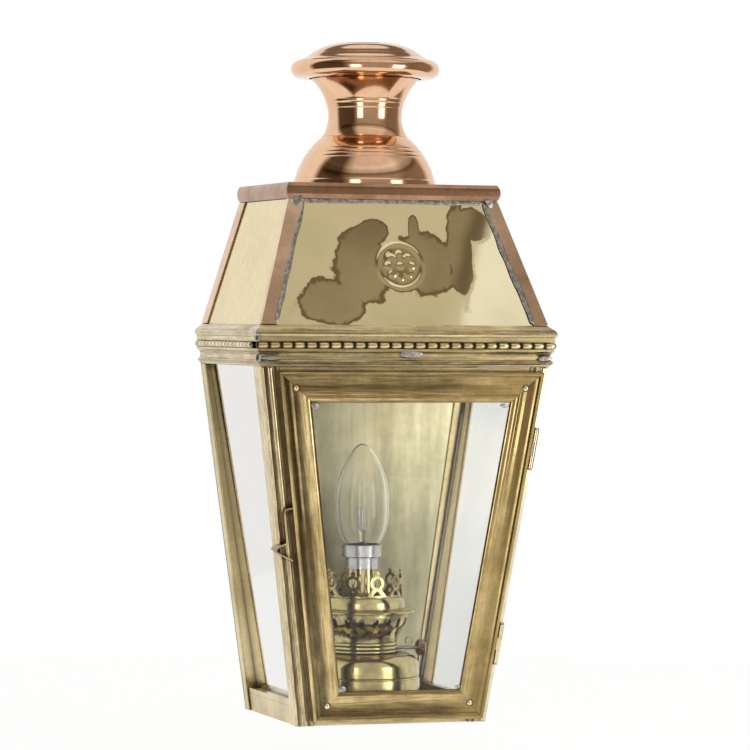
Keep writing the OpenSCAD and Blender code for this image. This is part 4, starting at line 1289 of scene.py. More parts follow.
@dataclass
class Studio:
    """Camera, white surroundings, floor and soft lamps.

    The focal length is in pixels of a picture that is PHOTO_PIXELS wide. The camera's distance,
    its aim and the floor's place are in millimetres, angles in degrees and the floor's radius
    in metres. Wall and flank are levels by azimuth, where 0 is the front. The other steps run
    from one height of a direction to another, where 1 is straight up, but for the front, which
    runs towards the back of the room, and the ring, which runs towards the overhead direction.
    """

    focal_pixels: float = 3839.4
    distance: float = 2530.8
    azimuth: float = -18.421
    pitch: float = 0.853
    roll: float = 0.394
    aim: Point = (2.48, -68.0, 75.6)
    floor_z: float = -183.0
    floor_y: float = -60.0
    floor_radius: float = 0.85
    floor_light: Colour = (0.55, 0.55, 0.54)
    floor_seen: Colour = (0.16, 0.16, 0.16)
    floor_glow: float = 0.9
    wall: Stops = (
        (-180, 0.93), (-118, 0.93), (-106, 0.09), (-54, 0.07), (-40, 0.34), (-12, 0.42),
        (24, 0.40), (44, 0.30), (56, 0.20), (104, 0.26), (118, 0.93), (180, 0.93))
    flank: Stops = (
        (-116, 1.0), (-102, 0.12), (-64, 0.10), (-40, 0.85), (46, 1.0), (64, 0.60),
        (102, 0.60), (116, 1.0))
    front: Ramp = (0.0, 0.35, 1.0, 0.0)
    ground: Ramp = (-0.75, -0.25, 0.62, 0.0)
    ceiling: Tuple[float, float] = (0.44, 0.50)
    dark_strip: Ramp = (0.495, 0.545, 0.36, 0.15)
    grey_ceiling: Ramp = (0.562, 0.590, 0.0, 0.64)
    white_ceiling: Ramp = (0.620, 0.670, 0.0, 0.94)
    dimmer_top: Ramp = (0.70, 0.78, 1.0, 0.72)
    crest: Tuple[float, float] = (0.86, 0.94)
    back_ceiling: Ramp = (0.62, 0.70, 0.0, 0.80)
    overhead: Point = (0.20, 0.61, 0.766)
    ring_outside: Ramp = (0.925, 0.94, 0.0, 0.8)
    ring_inside: Ramp = (0.978, 0.985, 1.0, 0.0)
    warmth: Tuple[float, float, float] = (0.96, 1.10, 1.27)
    softboxes: Tuple[Softbox, ...] = (
        Softbox("softbox left", azimuth=-32.0, width=0.40),
        Softbox("softbox right", azimuth=34.0, width=0.50))

    def camera(self) -> None:
        """Sets the camera from its azimuth, pitch and roll about the point it looks at."""
        a, e, r = (math.radians(v) for v in (self.azimuth, self.pitch, self.roll))
        back = Vector((math.sin(a) * math.cos(e), -math.cos(a) * math.cos(e), math.sin(e)))
        level = Vector((math.cos(a), math.sin(a), 0.0))
        rise = back.cross(level)
        right = level * math.cos(r) + rise * math.sin(r)
        up = rise * math.cos(r) - level * math.sin(r)
        lens = bpy.data.cameras.new("camera")
        lens.sensor_width = SENSOR_MM
        lens.lens = self.focal_pixels * SENSOR_MM / PHOTO_PIXELS
        lens.clip_start, lens.clip_end = 0.05, 50.0
        piece = placed("camera", lens)
        turn = Matrix((right, up, back)).transposed().to_4x4()
        spot = (Vector(self.aim) + back * self.distance) * MM
        piece.matrix_world = Matrix.Translation(spot) @ turn
        bpy.context.scene.camera = piece

    def surroundings(self) -> None:
        """White where the camera looks, and a room for reflections.

        The room's brightness depends on the direction alone: white behind the lantern, dark at
        both sides of the camera and a half-lit wall behind it. Over the front wall lies a dark
        strip, then a grey and a white ceiling, and a dark ring hangs over the back. Darker parts
        are warmer, since green and blue are higher powers of the level than red is.
        """
        world = bpy.data.worlds.new("studio")
        bpy.context.scene.world = world
        world.use_nodes = True
        b = Bench(world.node_tree)
        direction = b.node("ShaderNodeTexCoord", out="Generated")
        x, y, z = (b.along(direction, axis) for axis in (X_AXIS, Y_AXIS, Z_AXIS))
        turn = b.calc("ARCTAN2", x, 0.0 - y) / (2 * math.pi) + 0.5
        wall, sides = (b.along(b.read([self._stop(*stop) for stop in stops], turn), X_AXIS)
                       for stops in (self.wall, self.flank))
        front = y.ramp(*self.front)
        level = wall.larger(z.ramp(*self.ground))
        above = z.ramp(*self.dark_strip).larger(z.ramp(*self.grey_ceiling))
        above = above.larger(z.ramp(*self.white_ceiling)) * z.ramp(*self.dimmer_top)
        above = above * sides.larger(z.ramp(*self.crest))
        ceiling = z.ramp(*self.ceiling) * front
        level = level * (1.0 - ceiling) + above * ceiling
        level = level.larger(z.ramp(*self.back_ceiling) * sides)
        near = b.along(direction, self.overhead)
        level = level * (1.0 - near.ramp(*self.ring_outside) * near.ramp(*self.ring_inside))
        room = b.node("ShaderNodeCombineColor",
                      sockets={k: level ** power for k, power in enumerate(self.warmth)})
        shown = b.tint(b.ray("Camera").larger(b.ray("Transmission")), room, (1.0, 1.0, 1.0))
        light = b.node("ShaderNodeBackground", sockets={"Color": shown, "Strength": 1.0})
        b.node("ShaderNodeOutputWorld", sockets={"Surface": light})

    @staticmethod
    def _stop(azimuth: float, level: float) -> Tuple[float, float]:
        """A ramp stop for an azimuth in degrees, where 0 is the front."""
        return azimuth / 360.0 + 0.5, level

    def floor(self) -> None:
        """A round pale floor that keeps the lantern's shadow.

        Its points lie on rings at radius R s for s from 0 to 1. The camera, mirrors and glass
        see a little of the lit surface over white, and other rays see the lit surface alone.
        """
        sides, rings = 64, (0.02, 0.3, 0.65, 1.0)
        t = np.linspace(0, 2 * math.pi, sides, endpoint=False)[None, :]
        s = np.array(rings)[:, None] * self.floor_radius / MM
        points = np.stack([s * np.cos(t), s * np.sin(t) + self.floor_y, s * 0 * t + self.floor_z],
                          axis=2)
        mesh = bpy.data.meshes.new("floor")
        quads = grid_faces(len(rings), sides, False, True).tolist() + [list(range(sides))]
        mesh.from_pydata(points.reshape(-1, 3) * MM, [], quads)
        piece = placed("floor", mesh)
        material, b = blank("pale floor")
        seen = b.ray("Camera").larger(b.ray("Glossy")).larger(b.ray("Transmission"))
        tone = b.tint(seen, self.floor_light, self.floor_seen)
        lit = b.node("ShaderNodeBsdfDiffuse", sockets={"Color": tone})
        glow = b.node("ShaderNodeEmission",
                      sockets={"Color": (1, 1, 1, 1), "Strength": seen * self.floor_glow})
        b.surface(b.node("ShaderNodeAddShader", {}, {0: lit, 1: glow}))
        mesh.materials.append(material)

    def build(self) -> None:
        """Camera first, then everything that lights the lantern."""
        self.camera()
        self.surroundings()
        self.floor()
        for softbox in self.softboxes:
            softbox.build()
        bpy.context.scene.view_settings.view_transform = "Standard"


# Sub-assemblies


def on_front(x: np.ndarray, up: np.ndarray, out: np.ndarray) -> np.ndarray:
    """Points given across, up and out of the sloping front of the body.

    Up and out turn by the lean about the foot of the front.

    Args:
        x: Distance from the middle plane.
        up: Distance up the slope from the lower edge.
        out: Distance in front of the slope.

    Returns:
        Points of the row frame, in millimetres.
    """
    y = FOOT_Y - up * math.sin(LEAN) - out * math.cos(LEAN)
    z = FOOT_Z + up * math.cos(LEAN) - out * math.sin(LEAN)
    return np.stack([x + 0 * y, y, z], axis=-1)


@dataclass
class GlazedBody:
    """Tapered body: wall plate, posts, floor tray, frames, panes and their stops.

    Reed and lip hold the inset from the post's outer edge, half the width and the height of a
    rib. The strip's insets and heights belong to the four corners of its section. Holes holds
    left, right, low and high of the fixing holes, and plug_depths how far a cap's face, its
    chamfer's foot and its back stand in front of the wall.
    """

    edge: float = 0.35
    low: float = 0.6
    high: float = 232.4
    reed: Tuple[float, float, float] = (5.9, 1.9, 1.15)
    lip: Tuple[float, float, float] = (1.2, 0.9, 0.55)
    rib_steps: int = 13
    sunk: float = 0.2
    strip_inset: Tuple[float, ...] = (3.7, 3.7, 0.25, 0.25)
    strip_out: Tuple[float, ...] = (-0.2, 0.66, 0.16, -0.2)
    plug_r: float = 2.6
    plug_chamfer: float = 0.3
    plug_depths: Tuple[float, float, float] = (1.35, 1.1, 0.3)
    plug_sides: int = 32
    holes: Tuple[float, float, float, float] = (-50.0, 50.0, -106.0, 64.0)
    rib_crease: float = 60.0
    strip_crease: float = 20.0

    def rib(self, inset: float, half: float, height: float) -> Tuple[np.ndarray, Any]:
        """A half-round rib on the left front post, parallel to the post's outer edge.

        At angle a from 0 to pi round its section, a point lies half cos a beside the rib's line
        and height sin a in front of the post; the foot is sunk a little into the sheet.

        Args:
            inset: Distance of its line from the outer edge.
            half: Half of its width.
            height: Height of its crown.

        Returns:
            Points and faces.
        """
        n = self.rib_steps
        a = np.linspace(0, math.pi, n)[None, :]
        s = np.array([[self.low], [self.high]])
        across = inset - HALF_FOOT - SPREAD * s - half * np.cos(a)
        out = height * np.sin(a) - np.where((a == 0) | (a == math.pi), self.sunk, 0.0)
        points = on_front(across, s + 0 * a, out + 0 * s).reshape(-1, 3)
        ends = [list(range(n)), list(range(2 * n - 1, n - 1, -1))]
        return points, grid_faces(2, n, False, True).tolist() + ends

    def build(self) -> None:
        """Rounds the edges of the brass work, adds the reeds and dresses the rest."""
        for node in ("post_back_left", "post_back_right", "floor_tray", "top_frame",
                     "pane_stop_left", "pane_stop_right"):
            worked_copy(node, Finish.CASE, "lantern", self.edge)
        for side in ("left", "right"):
            worked_copy(f"post_front_{side}", Finish.POST, "lantern", self.edge)
        worked_copy("door_header", Finish.CORNICE, "lantern", self.edge)
        ribs = together("reeds_front", [self.rib(*self.reed), self.rib(*self.lip)], Finish.POST,
                        self.rib_crease)
        strip = together("edge_strip", [self.edge_strip()], Finish.STRIP, self.strip_crease)
        for piece in (ribs, strip):
            stands_for(piece, "lantern", "brass")
        dress(Finish.PLATE, "back_plate")
        dress(Finish.PANE, "pane_left", "pane_right")
        dress(Finish.RUBBER, "cable_grommet")
        left, right, low, high = self.holes
        for name, x, z in (("low_left", left, low), ("low_right", right, low),
                           ("high_left", left, high), ("high_right", right, high)):
            self.plug(name, x, z)

    def edge_strip(self) -> Tuple[np.ndarray, Any]:
        """A flat strip on the right front post, turned a little outwards.

        Its section has four corners and is carried straight up the slope.

        Returns:
            Points and faces of the strip.
        """
        out = np.array(self.strip_out)
        s = np.array([[self.low], [self.high]])
        across = HALF_FOOT + SPREAD * s - np.array(self.strip_inset)
        points = on_front(across, s + 0 * across, out + 0 * across).reshape(-1, 3)
        return points, grid_faces(2, 4, False, True).tolist() + [[0, 1, 2, 3], [7, 6, 5, 4]]

    def plug(self, name: str, x: float, z: float) -> None:
        """A thin chamfered cap in a fixing hole: its profile turned about a line along Y.

        Args:
            name: Where the hole is, for the piece's name.
            x: The hole's place across.
            z: The hole's height.
        """
        face, chamfer_foot, back = (-depth for depth in self.plug_depths)
        t = np.linspace(0, 2 * math.pi, self.plug_sides, endpoint=False)
        r = np.array([0.0, self.plug_r - self.plug_chamfer, self.plug_r, self.plug_r, 0.0])[:, None]
        y = np.array([face, face, chamfer_foot, back, back])[:, None]
        points = np.stack([x + r * np.cos(t), y + 0 * t, z + r * np.sin(t)], axis=-1)
        faces = grid_faces(len(r), self.plug_sides, False, True)
        piece = solid_piece(f"plug_{name}", points.reshape(-1, 3), faces, Finish.PLATE)
        stands_for(piece, "lantern", "brass")


@dataclass
class BeadedCornice:
    """Moulded cornice on three sides with its rows of turned beads."""

    edge: float = 0.25
    bead_edge: float = 0.0
    bead_crease: float = 50.0

    def build(self) -> None:
        """Rounds and dresses the mouldings and the beads."""
        for side, metal, beads in (("front", Finish.CORNICE, Finish.BEAD_FRONT),
                                   ("left", Finish.RAIL, Finish.BEAD_SIDE),
                                   ("right", Finish.RAIL, Finish.BEAD_SIDE)):
            worked_copy(f"cornice_{side}", metal, "lantern", self.edge)
            worked_copy(f"beads_{side}", beads, "lantern", self.bead_edge, self.bead_crease)


@dataclass
class SheetRoof:
    """Three brass panels flattened by hand, copper hips, wall strips and the copper tray.

    Base and top values give the panels' outer corners. Swells holds the length and the share
    of each slow wave, whose unit is wave, and seeds belong to the front, left and right panel.
    """

    base_z: float = ROOF_LOW[1]
    top_z: float = ROOF_HIGH[1]
    base_half: float = 96.62
    top_half: float = 70.38
    base_depth: float = ROOF_LOW[0]
    top_depth: float = ROOF_HIGH[0]
    sheet: float = 1.2
    side_gap: float = 1.3
    edge: float = 0.3
    seeds: Tuple[int, int, int] = (5, 11, 12)
    wave: float = 0.015
    swells: Tuple[Tuple[float, float], ...] = (
        (150.0, 0.9), (95.0, 0.55), (62.0, 0.32), (40.0, 0.12))
    fade: float = 7.0
    fade_bend: float = 1.5
    step: float = 0.7
    ring_r: float = 15.0
    ring_half: float = 1.1
    ring_height: float = 0.22
    ornament_drop: float = 2.0
    petal_r: float = 11.1
    petal_waist: float = 0.62
    petal_bow: float = 0.7
    petal_slope: float = 2.0
    petal_height: float = 0.34
    boss_r: float = 2.8
    boss_height: float = 0.45

    def build(self) -> None:
        """Makes the panels and dresses the copper trim."""
        low_left = (-self.base_half, -self.base_depth, self.base_z)
        low_right = (self.base_half, -self.base_depth, self.base_z)
        high_left = (-self.top_half, -self.top_depth, self.top_z)
        high_right = (self.top_half, -self.top_depth, self.top_z)
        front_seed, left_seed, right_seed = self.seeds
        self.panel("roof_front", (low_left, low_right, high_left, high_right), front_seed,
                   Finish.FRONT_SHEET)
        back, fore = -self.side_gap, self.side_gap
        for node, side, seed in (("roof_left", -1.0, left_seed), ("roof_right", 1.0, right_seed)):
            corners = [
                (side * self.base_half, back, self.base_z),
                (side * self.base_half, fore - self.base_depth, self.base_z),
                (side * self.top_half, back, self.top_z),
                (side * self.top_half, fore - self.top_depth, self.top_z),
            ]
            if side > 0:
                corners = [corners[1], corners[0], corners[3], corners[2]]
            self.panel(node, tuple(corners), seed, Finish.SHEET)
        for node in ("hip_left", "hip_right", "wall_strip_left", "wall_strip_right"):
            worked_copy(node, Finish.HIP, "lantern", self.edge)
        worked_copy("top_tray", Finish.TRAY, "lantern", self.edge)

    def panel(
        self, node: str, corners: Tuple[Point, ...], seed: int, finish: Finish
    ) -> None:
        """One roof panel: a flat four-cornered sheet with slow waves, and a rosette in view.

        A point is the bilinear blend of the corners at (u, v), moved along the panel's normal
        by the waves times a fade to nothing at the borders, plus the rosette's height. The
        right panel is bare.

        Args:
            node: The CAD panel that it stands for.
            corners: Low left, low right, high left and high right corner, seen from outside.
            seed: Seed of the waves.
            finish: Its finish.
        """
        c = [np.array(p, float) for p in corners]
        width = np.linalg.norm(c[1] - c[0])
        rise = np.linalg.norm((c[2] + c[3] - c[0] - c[1]) / 2)
        across = (c[1] - c[0]) / width
        up = (c[2] + c[3] - c[0] - c[1]) / 2
        normal = np.cross(across, up)
        normal /= np.linalg.norm(normal)
        u = np.linspace(0, 1, int(width / self.step) + 1)[None, :, None]
        v = np.linspace(0, 1, int(rise / self.step) + 1)[:, None, None]
        flat = (c[0] * (1 - u) + c[1] * u) * (1 - v) + (c[2] * (1 - u) + c[3] * u) * v
        middle = (c[0] + c[1] + c[2] + c[3]) / 4
        x = (flat - middle) @ across
        y = (flat - middle) @ (up / np.linalg.norm(up))
        nearest = np.minimum(np.minimum(u, 1 - u), np.minimum(v, 1 - v))[..., 0]
        height = self.waves(x, y, seed) * np.clip(nearest * self.fade, 0, 1) ** self.fade_bend
        if node != "roof_right":
            height = height + self.rosette(x, y + self.ornament_drop)
        outer = flat + height[..., None] * normal
        piece = slab(f"worked_{node}", outer, flat - self.sheet * normal, finish)
        stands_for(piece, "lantern", "roof_brass", node)

    def waves(self, x: np.ndarray, y: np.ndarray, seed: int) -> np.ndarray:
        """Slow waves of a hand-flattened sheet: a few crossed sines of random phase.

        Args:
            x: Distance across, from the middle.
            y: Distance up, from the middle.
            seed: Seed of the phases.

        Returns:
            Height in millimetres.
        """
        dice = np.random.default_rng(seed)
        total = np.zeros_like(x)
        for length, share in self.swells:
            turn, phase = dice.uniform(0, 2 * math.pi, 2)
            run = x * math.cos(turn) + y * math.sin(turn)
            total += share * np.sin(2 * math.pi * run / length + phase)
        return self.wave * total

    def rosette(self, x: np.ndarray, y: np.ndarray) -> np.ndarray:
        """A plain eight-petalled rosette in a fine ring.

        With r and t the polar coordinates, the petals' edge is R (w + (1 - w) |cos 4t|^b) for
        a waist w and a bow b. Their height is a smooth step inwards from it, which sinks towards
        the centre. A round boss stands in the middle and a ring of bell-shaped section outside.

        Args:
            x: Distance across from its centre.
            y: Distance up from its centre.

        Returns:
            Height in millimetres.
        """
        radius, turn = np.hypot(x, y), np.arctan2(y, x)
        bow = np.abs(np.cos(4 * turn)) ** self.petal_bow
        rim = self.petal_r * (self.petal_waist + (1 - self.petal_waist) * bow)
        inside = np.clip((rim - radius) / self.petal_slope, 0, 1)
        step = inside ** 2 * (3 - 2 * inside)
        petals = self.petal_height * step * (0.5 + 0.5 * radius / self.petal_r)
        boss = self.boss_height * np.exp(-(radius / self.boss_r) ** 4)
        ring = self.ring_height * np.exp(-((radius - self.ring_r) / self.ring_half) ** 2)
        return np.maximum(petals, boss) + ring


@dataclass
class SpunChimney:
    """Spun copper chimney in three parts: skirt, neck and cap, on an upright axis."""

    centre: Tuple[float, float] = (0.0, -50.5)
    wall: float = 1.0
    skirt_z: float = 200.25
    skirt_r: float = 47.0
    skirt_top_r: float = 28.3
    skirt_h: float = 32.6
    neck_z: float = 232.95
    neck_r: float = 24.3
    rim_r: float = 35.7
    neck_h: float = 38.0
    waist_h: float = 13.3
    cap_z: float = 271.35
    cap_r: float = 49.3
    cap_h: float = 23.0
    lip: float = 5.0
    cap_gap: float = 1.4
    line_depth: float = 0.22
    line_half: float = 0.45
    skirt_lines: Tuple[float, float, float] = (19.3, 21.9, 24.6)
    neck_lines: Tuple[float, float, float] = (18.3, 21.7, 24.3)
    sides: int = 256

    def lines(self, path: np.ndarray, heights: Sequence[float]) -> np.ndarray:
        """Fine spinning lines: shallow grooves in a profile at the given heights.

        The radius is lowered by d exp(-((z - h) / w)^2) for each line of depth d and half
        width w.

        Args:
            path: Profile as radius and height.
            heights: Heights of the lines.

        Returns:
            The grooved profile.
        """
        cut = np.zeros(len(path))
        for height in heights:
            cut += self.line_depth * np.exp(-((path[:, 1] - height) / self.line_half) ** 2)
        return np.stack([path[:, 0] - cut, path[:, 1]], axis=1)

    def skirt(self) -> np.ndarray:
        """Profile of the skirt: a short upright foot and a domed sweep up to the neck.

        Returns:
            Closed outline as radius and height.
        """
        path = joined([[self.skirt_r, 0], [self.skirt_r, 1.6]],
                      arc((self.skirt_r, 2.9), (self.skirt_r - 0.5, 4), -0.1, 4),
                      arc((self.skirt_r - 0.6, 4.2), (self.skirt_top_r, self.skirt_h), -2.85, 90))
        path = self.lines(path, self.skirt_lines)
        return walled(path, self.wall) + [0, self.skirt_z]

    def neck(self) -> np.ndarray:
        """Profile of the neck, which draws in and then opens to its rim.

        Returns:
            Closed outline as radius and height.
        """
        path = joined(arc((self.skirt_top_r, 0), (self.neck_r, self.waist_h), 0.95, 40),
                      arc((self.neck_r, self.waist_h + 0.4), (self.rim_r, self.neck_h), 2.6, 70))
        path = self.lines(path, self.neck_lines)
        return walled(path, self.wall + 0.1) + [0, self.neck_z]

    def cap(self) -> np.ndarray:
        """Profile of the cap: a flat crown, an ogee shoulder and a rolled lip.

        Returns:
            Closed outline as radius and height.
        """
        edge, h = self.cap_r - self.lip, self.cap_h
        path = joined([[0, h], [10, h], [20, h]], arc((20.6, h), (21.8, h - 0.3), 0.08, 4),
                      arc((22.2, h - 0.45), (36.8, h - 7.2), 1.0, 30),
                      arc((37.3, h - 7.5), (edge - 0.7, h - 10.8), -0.3, 14),
                      arc((edge, h - 11), (edge, 0.5), 4.9, 48),
                      arc((edge - 0.4, 0.4), (self.rim_r + self.cap_gap, 0), 0.1, 6))
        inner = offset(path, -self.wall)[::-1]
        inner[:, 0] = np.maximum(inner[:, 0], 0)
        inner[-1] = (0, h - self.wall)
        return np.vstack([path, inner]) + [0, self.cap_z]

    def build(self) -> None:
        """Makes the three spun parts and dresses the stays."""
        for node, profile in (("chimney_skirt", self.skirt()), ("chimney_neck", self.neck()),
                              ("chimney_cap", self.cap())):
            piece = turned(f"spun_{node}", profile, self.centre, Finish.COPPER, self.sides)
            stands_for(piece, "lantern", "copper", node)
        dress(Finish.TRIM, "cap_stays")


@dataclass
class HingedDoor:
    """Moulded door with its pane, clips, screws, hinges and catch."""

    tuck: float = 3.4
    middle: float = 116.7
    edge: float = 0.3
    crease: float = 40.0
    catch_edge: float = 0.2

    def clips(self) -> None:
        """Draws the glass clips in under the moulding, towards the door's nearest edge.

        Each point moves by a fixed amount: sideways, away from the plane X = 0, where a stile
        is its nearest edge, and otherwise up or down the slope, away from the door's middle.
        """
        piece = worked_copy("door_glass_clips", Finish.FITTING, "door", 0.0)
        count = len(piece.data.vertices)
        flat = np.empty(count * 3, np.float32)
        piece.data.vertices.foreach_get("co", flat)
        x, y, z = flat.reshape(-1, 3).astype(float).T / MM
        up = (z - FOOT_Z) * math.cos(LEAN) - (y - FOOT_Y) * math.sin(LEAN)
        beside = HALF_FOOT + SPREAD * up - np.abs(x)
        near_side = beside < np.minimum(up, 2 * self.middle - up)
        aside = np.where(near_side, np.sign(x) * self.tuck, 0.0)
        rise = np.where(near_side, 0.0, np.sign(up - self.middle) * self.tuck)
        points = np.stack([x + aside, y - rise * math.sin(LEAN), z + rise * math.cos(LEAN)], axis=1)
        piece.data.vertices.foreach_set("co", (points * MM).reshape(-1).astype(np.float32))
        piece.data.update()

    def build(self) -> None:
        """Rounds the frame's edges and dresses the fittings."""
        for node in ("door_stile_left", "door_stile_right", "door_rail_top", "door_rail_bottom"):
            worked_copy(node, Finish.DOOR, "door", self.edge, self.crease)
        dress(Finish.WINDOW, "door_glass")
        self.clips()
        dress(Finish.STRIP, "hinge_leaves_door", "hinge_leaves_post", "door_screws")
        dress(Finish.STEEL, "hinge_pins")
        worked_copy("door_catch", Finish.FITTING, "catch", self.catch_edge)


@dataclass
class MockOilLamp:
    """Brass lamp in the old oil pattern that carries the bulb holder."""

    centre: Tuple[float, float] = (0.0, -50.0)
    floor: float = -150.0
    drum_r: float = 39.4
    drum_h: float = 41.4
    drum_foot: float = 1.25
    drum_wall: float = 1.2
    foot_round: float = 1.2
    groove_z: float = 26.0
    ring_r: float = 24.4
    rings_h: float = 7.6
    flange_r: float = 35.7
    flange_z: float = 68.55
    collar_r: float = 29.1
    collar_h: float = 10.2
    tube_r: float = 11.0
    basket_r: float = 30.7
    holder_ring_r: float = 13.3
    holder_ring_z: float = 104.75
    holder_ring_top: float = 113.1
    edge: float = 0.15
    crown_edge: float = 0.2
    crease: float = 40.0

    def drum(self) -> np.ndarray:
        """Profile of the drum: rounded foot, grooved wall and domed shoulder.

        Returns:
            Closed outline as radius and height.
        """
        groove, foot, h = self.groove_z, self.drum_foot, self.drum_h
        r = self.drum_r - self.foot_round
        outer = joined(arc((r, foot), (self.drum_r, foot + self.foot_round), -0.35, 6),
                       [[self.drum_r - 0.2, 12.0], [r + 0.6, groove - 1.1]],
                       arc((r + 0.55, groove - 0.9), (r + 0.4, groove + 0.9), 0.6, 8),
                       [[r + 0.3, groove + 1.4], [r + 0.1, h - 8.6]],
                       arc((r, h - 7.4), (self.ring_r + 2.2, h), -2.6, 40), [[8, h]])
        top = h - self.drum_wall
        inner = [[8, top], [self.ring_r + 1, top], [r - 2.6, h - 8.4], [r - 1.8, groove],
                 [r - 0.8, foot]]
        return joined(outer, inner) + [0, self.floor]

    def ring(self) -> np.ndarray:
        """Profile of the three half-round rings.

        Returns:
            Closed outline as radius and height.
        """
        foot, step = self.drum_h + 0.05, self.rings_h / 3
        reed = step / 2 - 0.1
        r = self.ring_r - reed
        reeds = [arc((r, foot + step * k), (r, foot + step * (k + 1)), -reed, 14) for k in range(3)]
        inner = [[self.ring_r - 4, foot + self.rings_h]]
        return joined([[self.ring_r - 4, foot]], *reeds, inner) + [0, self.floor]

    def flange(self) -> np.ndarray:
        """Profile of the flange and the plain collar above it.

        Returns:
            Closed outline as radius and height.
        """
        r, h, bore = self.collar_r, self.collar_h, self.tube_r + 0.3
        path = joined([[self.flange_r - 0.8, 0]],
                      arc((self.flange_r - 0.3, 0.15), (self.flange_r - 0.3, 1.2), -0.28, 6),
                      [[self.flange_r - 1, 1.4], [r + 0.8, 1.9]],
                      arc((r, 2.4), (r - 1.6, h - 0.3), -0.6, 30), [[r - 1.9, h], [bore, h]])
        inner = [[bore, h - 1.2], [r - 3, h - 1.2], [r - 1.4, 2], [self.basket_r - 5, 0]]
        return joined(path, inner) + [0, self.floor + self.flange_z]

    def holder_ring(self) -> np.ndarray:
        """Profile of the plated ring round the bulb's neck.

        Returns:
            Closed outline as radius and height.
        """
        z, r, top = self.holder_ring_z, self.holder_ring_r, self.holder_ring_top
        return joined([[self.tube_r + 0.05, z], [r - 0.4, z], [r, z + 0.4], [r, z + 3.4],
                       [r, top - 0.6]], arc((r, top - 0.5), (r - 0.9, top), -0.15, 5),
                      [[r - 0.9, z + 1], [self.tube_r + 0.05, z + 1]]) + [0, self.floor]

    def build(self) -> None:
        """Turns the round parts and dresses the pierced and small ones."""
        for node, profile, finish, slot in (
            ("lamp_drum", self.drum(), Finish.LAMP, "brass"),
            ("burner_ring", self.ring(), Finish.LAMP, "brass"),
            ("burner_flange", self.flange(), Finish.LAMP, "brass"),
            ("holder_ring", self.holder_ring(), Finish.NICKEL, "nickel"),
        ):
            piece = turned(f"turned_{node}", profile, self.centre, finish)
            stands_for(piece, "lantern", slot, node)
        worked_copy("burner_basket", Finish.CROWN, "lantern", self.edge, self.crease)
        worked_copy("burner_crown", Finish.CROWN, "lantern", self.crown_edge, self.crease)
        worked_copy("holder_tube", Finish.LAMP, "lantern", self.edge)
        worked_copy("holder_cup", Finish.NICKEL, "lantern", self.edge)
        worked_copy("wick_knob", Finish.TRIM, "wick_winder", self.edge)
        dress(Finish.STEEL, "wick_shaft")
        dress(Finish.CERAMIC, "contact_block")
        dress(Finish.LAMP, "contact_plungers")


@dataclass
class CandleBulb:
    """Clear candle bulb: shell, plated cap, glass stem and filament."""

    centre: Tuple[float, float] = (0.0, -50.0)
    neck_z: float = -45.7
    wide: float = 33.0
    height: float = 75.7
    cap_r: float = 7.6
    bulb_r: float = 17.7
    wall: float = 0.7
    sides: int = 128

    def shell(self) -> np.ndarray:
        """Profile of the hollow shell, drawn in to its neck and out to its tip.

        Returns:
            Closed outline as radius and height.
        """
        h, wide = self.height, self.wide
        path = joined([[self.cap_r - 0.6, 0], [self.cap_r + 0.5, 2.5]],
                      arc((self.cap_r + 1.4, 5), (self.bulb_r, wide), -2.7, 30),
                      arc((self.bulb_r, wide + 0.5), (7.2, h - 5.8), -3.4, 40),
                      arc((6.9, h - 5.3), (0.8, h - 0.1), -0.8, 24), [[0, h]])
        inner = offset(path, self.wall)[:-1]
        inner[:, 0] = np.maximum(inner[:, 0], 0)
        return joined(path, [[0, h - 1.8]], inner[::-1]) + [0, self.neck_z]

    def build(self) -> None:
        """Blows the shell and dresses the rest."""
        shell = turned("blown_bulb_glass", self.shell(), self.centre, Finish.BULB, self.sides)
        stands_for(shell, "bulb", "bulb_glass", "bulb_glass")
        dress(Finish.BULB, "bulb_stem")
        dress(Finish.NICKEL, "bulb_cap")
        dress(Finish.STEEL, "bulb_filament")


